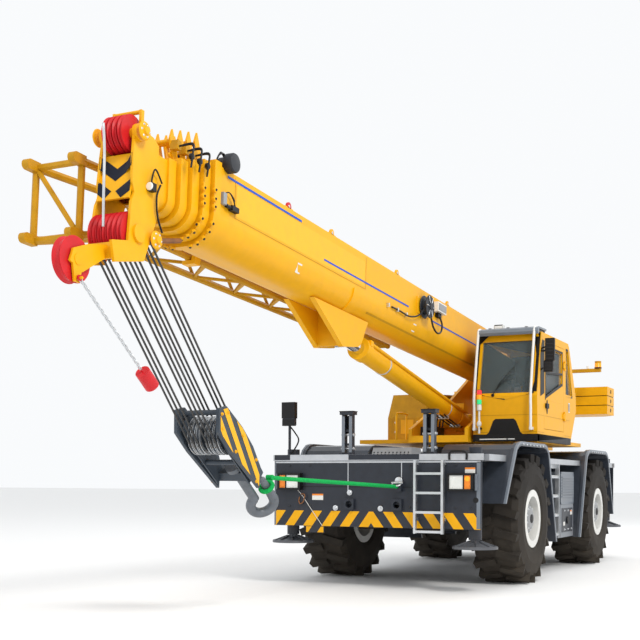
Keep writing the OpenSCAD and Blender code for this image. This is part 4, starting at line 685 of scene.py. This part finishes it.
# Cab's side: black back of the ladder, its rungs, frame and stickers of the cooler's panel
flank.box((0.11, 1.03, 0.56), (0.76, 1.05, 1.6), "black")
for z in [0.6 + 0.29 * i for i in range(4)]:
    flank.box((0.15, 1.24, z - 0.008), (0.74, 1.425, z), "white")
    for x in [0.18 + 0.115 * k for k in range(5)]:
        flank.box((x, 1.25, z), (x + 0.07, 1.41, z + 0.006), "bare")
for x0, x1, z0, z1 in ((-0.775, 0.065, 1.03, 1.06), (-0.775, 0.065, 1.5, 1.53),
                       (-0.775, -0.745, 1.03, 1.53), (0.035, 0.065, 1.03, 1.53)):
    flank.box((x0, flank_y, z0), (x1, flank_y + 0.012, z1), "lip")
flank.box((-0.7, flank_y + 0.003, 0.6), (-0.02, flank_y + 0.011, 0.97), "slate")
for x in (-0.62, -0.4, -0.18):
    for z in (0.93, 0.64):
        flank.bolt((x, flank_y + 0.011, z), Y, 0.012, "bare")
flank.box((-0.66, flank_y + 0.009, 0.86), (-0.54, flank_y + 0.0135, 0.93), "white")
flank.box((-0.66, flank_y + 0.01, 0.91), (-0.54, flank_y + 0.0145, 0.93), "orange")
flank.box((-0.2, flank_y + 0.009, 0.7), (-0.1, flank_y + 0.0135, 0.76), "white")
flank.lathe([(0, 0), (0.055, 0), (0.06, 0.01), (0.055, 0.022), (0, 0.026)], (-0.35, flank_y + 0.01, 0.78), Y,
            "black", 24)
# Other side: fuel tank straps, cap and steps
for x in (-0.5, 0.0, 0.5):
    flank.box((x - 0.03, -1.449, 0.61), (x + 0.03, -1.436, 1.535), "bare")
flank.lathe([(0, 0), (0.07, 0), (0.075, 0.01), (0.07, 0.035), (0, 0.04)], (0.25, -1.44, 1.4), (0, -1, 0),
            "black", 24)
for i in range(3):
    flank.box((-0.42, -1.452, 0.75 + i * 0.25), (-0.08, -1.44, 0.78 + i * 0.25), "black")
# Seams of the decks between the wheels and their rows of grip bars
for x in (-0.9, -0.45, 0.45, 0.9):
    for y0, y1 in ((0.62, 1.43), (-1.43, -0.62)):
        flank.box((x - 0.004, y0, DECK_TOP + 0.0005), (x + 0.004, y1, DECK_TOP + 0.0035), "slate_dark")
for i in range(26):
    for s in SIDES:
        for j in range(9):
            x, y, half = -0.98 + i * 0.078, s * (0.7 + j * 0.085), 0.018
            flank.box((x - half, y - 0.005, DECK_TOP), (x + half, y + 0.005, DECK_TOP + 0.0025), "edge")
flank.done("flank_details", "carrier", 0.0015)

# Cab
cab = Build()


def on_front(outline, finish, lift=0.003):
    """Field on the cab's front, its outline in y and z"""
    cab.paint([(4, y, z) for y, z in outline], (-1, 0, 0), "cab_shell", finish, lift, 0.25)


def on_side(build, outline, finish, lift=0.003, node="cab_shell"):
    """Field on the cab's left side, its outline in x and z"""
    build.paint([(x, 4, z) for x, z in outline], (0, -1, 0), node, finish, lift, 0.4)


# Black frames of the windows, and seams of the cab's plates
on_front([(0.69, 2.05), (0.735, 2.085), (0.8, 2.25), (0.835, 2.28), (1.105, 2.28), (1.14, 2.25),
          (1.205, 2.085), (1.25, 2.05)], "black", 0.004)
for y in (0.555, 1.395):
    on_front([(y, 2.65), (y, 2.635), (0.97, 2.55), (0.97, 2.65)], "black", 0.004)
for y0, y1 in ((0.552, 0.592), (1.358, 1.398)):
    on_front([(y0, 2.64), (y1, 2.64), (y1, 3.46), (y0, 3.46)], "black", 0.004)
on_front([(0.51, 3.408), (1.44, 3.408), (1.44, 3.52), (0.51, 3.52)], "black", 0.004)
for y0, y1 in ((0.51, 0.552), (1.398, 1.44)):
    on_front([(y0, 2.66), (y1, 2.66), (y1, 3.46), (y0, 3.46)], "black", 0.0045)
for z in (2.33, 2.085):
    on_front([(0.51, z), (1.44, z), (1.44, z + 0.006), (0.51, z + 0.006)], "dark_yellow_and_painted_shade")
    on_side(cab, [(1.1, z), (1.42, z), (1.42, z + 0.006), (1.1, z + 0.006)], "dark_yellow_and_painted_shade")
    on_side(cab, [(-0.8, z), (-0.1, z), (-0.1, z + 0.006), (-0.8, z + 0.006)], "dark_yellow_and_painted_shade")
# Frames of the rear side window and of the post before the door
REAR_WINDOW, REAR_MIDDLE = ((-0.6, 2.73), (-0.2, 2.73), (-0.2, 3.4), (-0.32, 3.4)), (-0.3, 3.05)
for a, b in zip(REAR_WINDOW, REAR_WINDOW[1:] + REAR_WINDOW[:1]):
    grown = [tuple(c + (p - c) * 1.11 for p, c in zip(q, REAR_MIDDLE)) for q in (b, a)]
    on_side(cab, [a, b, *grown], "black", 0.004)
on_side(cab, [(1.085, 2.66), (1.3, 2.6), (1.3, 3.2), (1.2, 3.42), (1.085, 3.42)], "black", 0.004)
on_side(cab, [(-0.46, 2.46), (-0.37, 2.46), (-0.37, 2.61), (-0.46, 2.61)], "white")
on_side(cab, [(-0.452, 2.475), (-0.378, 2.475), (-0.378, 2.595), (-0.452, 2.595)], "grey", 0.004)
# Skirt with its light bar
for x0, y0 in ((-0.52, 1.38), (1.36, 0.495)):
    cab.box((x0, y0, 1.957), (1.442, 1.457, 2.058), "black")
for y0, y1 in ((0.6, 1.0), (1.02, 1.12)):
    cab.box((1.44, y0, 1.98), (1.45, y1, 1.996), "lens")
# Sun visor over the guard, roof lamp, white tubes
cab.prism([(1.295, 3.5), (1.35, 3.49), (1.372, 3.53), (1.36, 3.575), (1.3, 3.6), (0.9, 3.606), (0.9, 3.575),
           (1.29, 3.572)], 1, 0.535, 1.432, "lip")
for y in (0.7, 0.97, 1.24):
    cab.box((0.92, y - 0.02, 3.6), (1.3, y + 0.02, 3.612), "grey")
cab.box((1.17, 0.75, 3.575), (1.268, 0.89, 3.655), "white")
cab.box((1.266, 0.762, 3.587), (1.274, 0.878, 3.645), "lens")
for y in (0.545, 1.375):
    cab.tube([(1.25, y, 3.6), (1.34, y, 3.57), (1.38, y, 3.42), (1.53, y, 2.66), (1.532, y, 2.4),
              (1.532, y, 2.11)], 0.0195, "white", 12)
    cab.box((1.438, y - 0.018, 2.115), (1.55, y + 0.018, 2.155), "white")
# Stack of signal lamps
stack_x, stack_y = 1.53, 0.62
cab.lathe([(0, 0), (0.0155, 0), (0.0155, 0.1), (0.03, 0.115), (0.034, 0.14), (0.03, 0.165), (0.0155, 0.18),
           (0.0155, 0.34)], (stack_x, stack_y, 2.068), Z, "white", 18)
for z0, z1, tone in ((2.4, 2.49, "white"), (2.49, 2.56, "green_lamp"), (2.56, 2.63, "amber"),
                     (2.63, 2.695, "red_lamp")):
    h = z1 - z0 - 0.002
    cab.lathe([(0, 0), (0.031, 0), (0.0345, 0.003), (0.0345, h - 0.004), (0.031, h), (0, h)],
              (stack_x, stack_y, z0), Z, tone, 24)
# Mirror housings with ribbed backs
for z0, z1, y0, y1 in ((3.105, 3.425, 1.517, 1.648), (2.945, 3.1, 1.497, 1.628)):
    cab.box((1.236, y0, z0), (1.304, y1, z1), "black")
    for k in range(6):
        z = z0 + 0.03 + k * (z1 - z0 - 0.06) / 5
        cab.box((1.302, y0 + 0.015, z - 0.004), (1.309, y1 - 0.015, z + 0.004), "seat")
# Mirror arms
cab.tube([(1.25, 1.45, 3.28), (1.28, 1.5, 3.3), (1.275, 1.56, 3.28)], 0.013, "black")
cab.tube([(1.27, 1.45, 2.98), (1.3, 1.49, 3.0), (1.275, 1.54, 3.02)], 0.011, "black")
# Wiper
cab.tube([(1.462, 0.8, 2.62), (1.455, 0.86, 2.72), (1.428, 1.0, 2.86), (1.412, 1.06, 2.93)],
         0.007, "black", 8)
cab.tube([(1.425, 0.86, 2.76), (1.412, 1.0, 2.92), (1.382, 1.16, 3.1)], 0.005, "black", 8)
cab.lathe([(0, 0), (0.024, 0), (0.024, 0.018), (0, 0.02)], (1.452, 0.8, 2.62), X, "black", 16)
# Steering wheel with its spokes and column
hub = (1.0, 0.97, 2.87)
cab.lathe([(0.16, 0), (0.176, 0.008), (0.18, 0.02), (0.172, 0.032), (0.156, 0.03), (0.15, 0.016), (0.16, 0)],
          (hub[0], hub[1], 2.86), (-0.5, 0, 0.87), "black", 36)
for a in (0.5, 2.6, 4.7):
    end = (hub[0] + 0.14 * math.cos(a), hub[1] + 0.155 * math.sin(a), hub[2] + 0.08 * math.cos(a))
    cab.rod(hub, end, 0.012, "black")
cab.rod(hub, (1.15, 0.97, 2.5), 0.03, "black")
cab.done("cab_details", "superstructure", 0.004)

leaf = Build()
# The door's frame, the slanted sill of its window, its bar and its handle
for outline in ([(0.0, 2.84), (0.03, 2.84), (0.03, 3.36), (0.0, 3.36)],
                [(0.99, 2.58), (1.03, 2.56), (1.03, 3.36), (0.99, 3.36)],
                [(0.0, 3.33), (1.03, 3.33), (1.03, 3.362), (0.0, 3.362)]):
    on_side(leaf, outline, "black", 0.003, "door")
leaf.prism([(0.025, 2.565), (0.995, 2.565), (0.995, 2.6), (0.025, 2.86)], 1, 1.425, 1.4515, "yellow")
leaf.prism([(0.0, 2.845), (1.03, 2.575), (1.03, 2.612), (0.0, 2.885)], 1, 1.44, 1.4535, "black")
leaf.prism([(0.025, 3.005), (0.995, 2.945), (0.995, 2.975), (0.025, 3.035)], 1, 1.436, 1.4535, "black")
oval = [(0.92 + 0.036 * math.cos(a), 2.47 + 0.105 * math.sin(a)) for a in round_about(20)]
leaf.prism(oval, 1, 1.45, 1.456, "black")
leaf.box((0.884, 1.449, 2.444), (1.026, 1.476, 2.516), "black")
on_side(leaf, [(-0.06, 2.33), (1.06, 2.33), (1.06, 2.336), (-0.06, 2.336)], "dark_yellow_and_painted_shade", 0.003, "door")
leaf.done("door_details", "cab_door", 0.003)

# Superstructure
top_side = Build()
# The counterweight's outline: dark gaps part its three slabs
SLAB = ((-3.33, -1.44), (-3.33, 1.44), (-3.885, 1.44), (-4.09, 1.235), (-4.09, -1.235), (-3.885, -1.44))
slab_low, slab_h = 2.6, 0.17
for k in (1, 2):
    z = slab_low + k * slab_h
    top_side.prism(SLAB, 2, z - 0.0145, z + 0.0005, "black")
for s in SIDES:
    for k in range(3):
        top_side.lathe([(0.02, 0), (0.035, 0), (0.035, 0.004), (0.02, 0.005), (0, 0.002)],
                       (-3.6, s * 1.45, slab_low + 0.08 + k * slab_h), (0, s, 0), "black", 18)
# Amber lamp on its arm
BEACON_X, BEACON_Z = -2.75, 3.37
top_side.lathe([(0.06, 0), (0.06, 0.02), (0.0575, 0.025), (0.0575, 0.085), (0.045, 0.115), (0, 0.129)],
               (BEACON_X, 1.4, BEACON_Z), Z, "amber", 28)
top_side.lathe([(0.0, -0.002), (0.062, -0.002), (0.062, 0.02), (0.0585, 0.022)],
               (BEACON_X, 1.4, BEACON_Z + 0.001), Z, "black", 28)
top_side.lathe([(0, 0), (0.02, 0), (0.02, 0.05), (0, 0.06)], (BEACON_X, 1.22, BEACON_Z), Z, "white", 14)
# Grille and hinges of the hood
for k in range(9):
    top_side.box((-1.3, -1.158, 2.2 + k * 0.05), (-0.55, -1.147, 2.222 + k * 0.05), "black")
for x in (-0.3, 0.35):
    top_side.box((x, -1.158, 2.45), (x + 0.1, -1.147, 2.5), "bare")
for y in (-1.02, -0.65):
    for z in (2.15, 2.3):
        top_side.bolt((0.7, y, z), X, 0.012, "bare")
top_side.box((0.698, -0.93, 2.12), (0.706, -0.72, 2.34), "yellow")
# Handrail and valve box before the hood
top_side.box((0.72, -0.46, 2.012), (1.2, -0.2, 2.2), "slate")
top_side.tube([(1.45, -0.7, 2.0), (1.45, -0.7, 2.35), (1.42, -0.68, 2.4), (1.1, -0.68, 2.4),
               (1.05, -0.7, 2.36), (1.05, -0.7, 2.0)], 0.016, "yellow")
# Pins of the boom's foot and of the cylinder
for (x, z), r in (((BOOM_FOOT[0], BOOM_FOOT[2]), 0.1), ((0.35, 2.29), 0.085)):
    for s in SIDES:
        top_side.lathe([(0, 0), (r, 0), (r, 0.012), (r * 0.7, 0.016), (r * 0.66, 0.03), (0, 0.032)],
                       (x, s * 0.46, z), (0, s, 0), "bare", 28)
        for a in round_about(6):
            top_side.bolt((x + r * 0.84 * math.cos(a), s * 0.474, z + r * 0.84 * math.sin(a)), (0, s, 0),
                          0.009, "cast")
# Seams of the boom's plates, and hoses to the cylinder
for s in SIDES:
    top_side.box((-3.1, s * 0.462 - 0.003, 2.0), (1.4, s * 0.462 + 0.003, 2.03), "dark_yellow_and_painted_shade")
for k in range(4):
    y = -0.3 + 0.05 * k
    top_side.tube([(0.95, y, 2.2), (0.86, y, 2.36), (0.66, 0.8 * y, 2.4), (0.5, 0.5 * y, 2.34)], 0.012,
                  "black", 8, 5)
top_side.done("superstructure_details", "superstructure", 0.003)

# Lift cylinder
stroke = Vector(JOINTS["cylinder_stroke"]["axis"])
LIFT = Matrix.Translation(JOINTS["cylinder_swing"]["pos_m"]) @ Matrix.Rotation(-math.atan2(stroke.z,
                                                                                           stroke.x), 4, "Y")
barrel_r = 0.125
barrel_end = max((LIFT.inverted() @ v.co).x for v in frame["nodes"]["lift_barrel"].data.vertices)
lift = Build(LIFT)
for t, wide, proud, tone in ((barrel_end - 0.03, 0.03, 0.012, "bare"),
                             (barrel_end - 0.16, 0.07, 0.01, "yellow"), (0.42, 0.06, 0.01, "yellow"),
                             (0.95, 0.03, 0.006, "bare"), (barrel_end - 0.8, 0.03, 0.006, "bare")):
    r = barrel_r + proud
    lift.lathe([(barrel_r - 0.004, 0), (r, 0.003), (r, wide - 0.003), (barrel_r - 0.004, wide)], (t, 0, 0), X,
               tone, 40)
for k, y in enumerate((-0.05, 0.0, 0.05)):
    lift.tube([(0.2, y, -0.09), (0.34, y, -0.15), (0.62, 1.2 * y, -0.148), (0.95, 1.3 * y, -0.142),
               (1.1, 1.2 * y, -0.128)], 0.011, "black", 8, 5)
for x0, x1, z0, z1 in ((0.4, 0.45, -0.165, -0.12), (0.93, 0.97, -0.158, -0.115)):
    lift.box((x0, -0.08, z0), (x1, 0.08, z1), "bare")
lift.done("cylinder_gear", "cylinder_barrel", 0.002)

# Floats
for name in ("fl", "fr", "rl", "rr"):
    lo, hi = low("jack_" + name), high("jack_" + name)
    x, y = (lo.x + hi.x) / 2, (lo.y + hi.y) / 2
    r = (hi.x - lo.x) / 2
    pad = Build(Matrix.Identity(4))
    pad.lathe([(r - 0.022, 0.024), (r - 0.022, 0.036), (r - 0.006, 0.036), (r - 0.006, 0.024)], (x, y, lo.z),
              Z, "float", 48)
    for a in round_about(8, math.pi / 8):
        d, n = Vector((math.cos(a), math.sin(a), 0)), Vector((-math.sin(a), math.cos(a), 0)) * 0.006
        o = Vector((x, y, lo.z))
        inner, outer = o + d * 0.07, o + d * (r - 0.02)
        corners = [inner + Z * 0.024, outer + Z * 0.024, outer + Z * 0.034, inner + Z * 0.105]
        pad.faces([c - n for c in corners] + [c + n for c in corners],
                  [(3, 2, 1, 0), (4, 5, 6, 7), (0, 1, 5, 4), (1, 2, 6, 5), (2, 3, 7, 6), (3, 0, 4, 7)],
                  "float")
    pad.done("float_ribs_" + name, "foot_" + name, 0.001)

# Wheels
RIM_Y, HUB_Z = 1.2525, 0.875
for name, e, s in (("fl", 1, 1), ("fr", 1, -1), ("rl", -1, 1), ("rr", -1, -1)):
    wheel = Build()
    at, out = (e * AXLE_X, s * RIM_Y, HUB_Z), (0, s, 0)
    wheel.lathe([(0.207, 0.1155), (0.213, 0.119), (0.33, 0.119), (0.338, 0.1155)], at, out, "grey", 48)
    wheel.lathe([(0.2075, 0.118), (0.1985, 0.24), (0.19, 0.2455), (0.1215, 0.2815), (0.115, 0.2835),
                 (0, 0.2835)], at, out, "grey", 36)
    wheel.lathe([(0.06, 0.28), (0.06, 0.295), (0.05, 0.3), (0, 0.3)], at, out, "cast", 24)
    # Wheel nuts and the hub's bolts: count, first angle, pitch radius, distance outwards, size
    for count, first, pitch_r, t, r in ((20, 0.0, 0.275, 0.119, 0.014),
                                        (10, math.pi / 10, 0.155, 0.264, 0.012)):
        for a in round_about(count, first):
            wheel.bolt((at[0] + pitch_r * math.cos(a), at[1] + s * t, at[2] + pitch_r * math.sin(a)), out, r,
                       "bare")
    wheel.lathe([(0.428, 0.285), (0.436, 0.297), (0.428, 0.304), (0.416, 0.297), (0.428, 0.285)], at, out,
                "white", 64)
    wheel.rod((at[0] + 0.37, at[1] + s * 0.2, at[2]), (at[0] + 0.33, at[1] + s * 0.26, at[2]), 0.008, "bare")
    wheel.done("wheel_details_" + name, "wheel_" + name, 0.0015)

# Floor and light


def pale_floor():
    bm = bmesh.new()
    bmesh.ops.create_grid(bm, x_segments=1, y_segments=1, size=120)
    me = bpy.data.meshes.new("floor")
    bm.to_mesh(me)
    ob = bpy.data.objects.new("floor", me)
    bpy.context.scene.collection.objects.link(ob)
    me.materials.append(surface("floor", (0.86, 0.86, 0.855), 0.9, vary=0.01, gloss=0.1))


pale_floor()
world = bpy.data.worlds.new("studio")
bpy.context.scene.world = world
world.use_nodes = True
world.node_tree.nodes["Background"].inputs[0].default_value = (0.97, 0.985, 1.0, 1)
world.node_tree.nodes["Background"].inputs[1].default_value = 0.98


def area(name, at, to, size, power, colour=(1, 1, 1)):
    l = bpy.data.lights.new(name, "AREA")
    l.shape = "DISK"
    l.size = size
    l.energy = power
    l.color = colour
    o = bpy.data.objects.new(name, l)
    bpy.context.scene.collection.objects.link(o)
    o.location = at
    o.rotation_euler = (Vector(to) - Vector(at)).to_track_quat("-Z", "Y").to_euler()


area("key", (12, 16, 18), (0, 0, 1.5), 6, 3200, (1, 0.97, 0.93))
area("fill", (16, -14, 9), (0, 0, 2), 12, 300, (0.9, 0.95, 1))
area("back", (-16, 4, 16), (0, 0, 2), 10, 900)
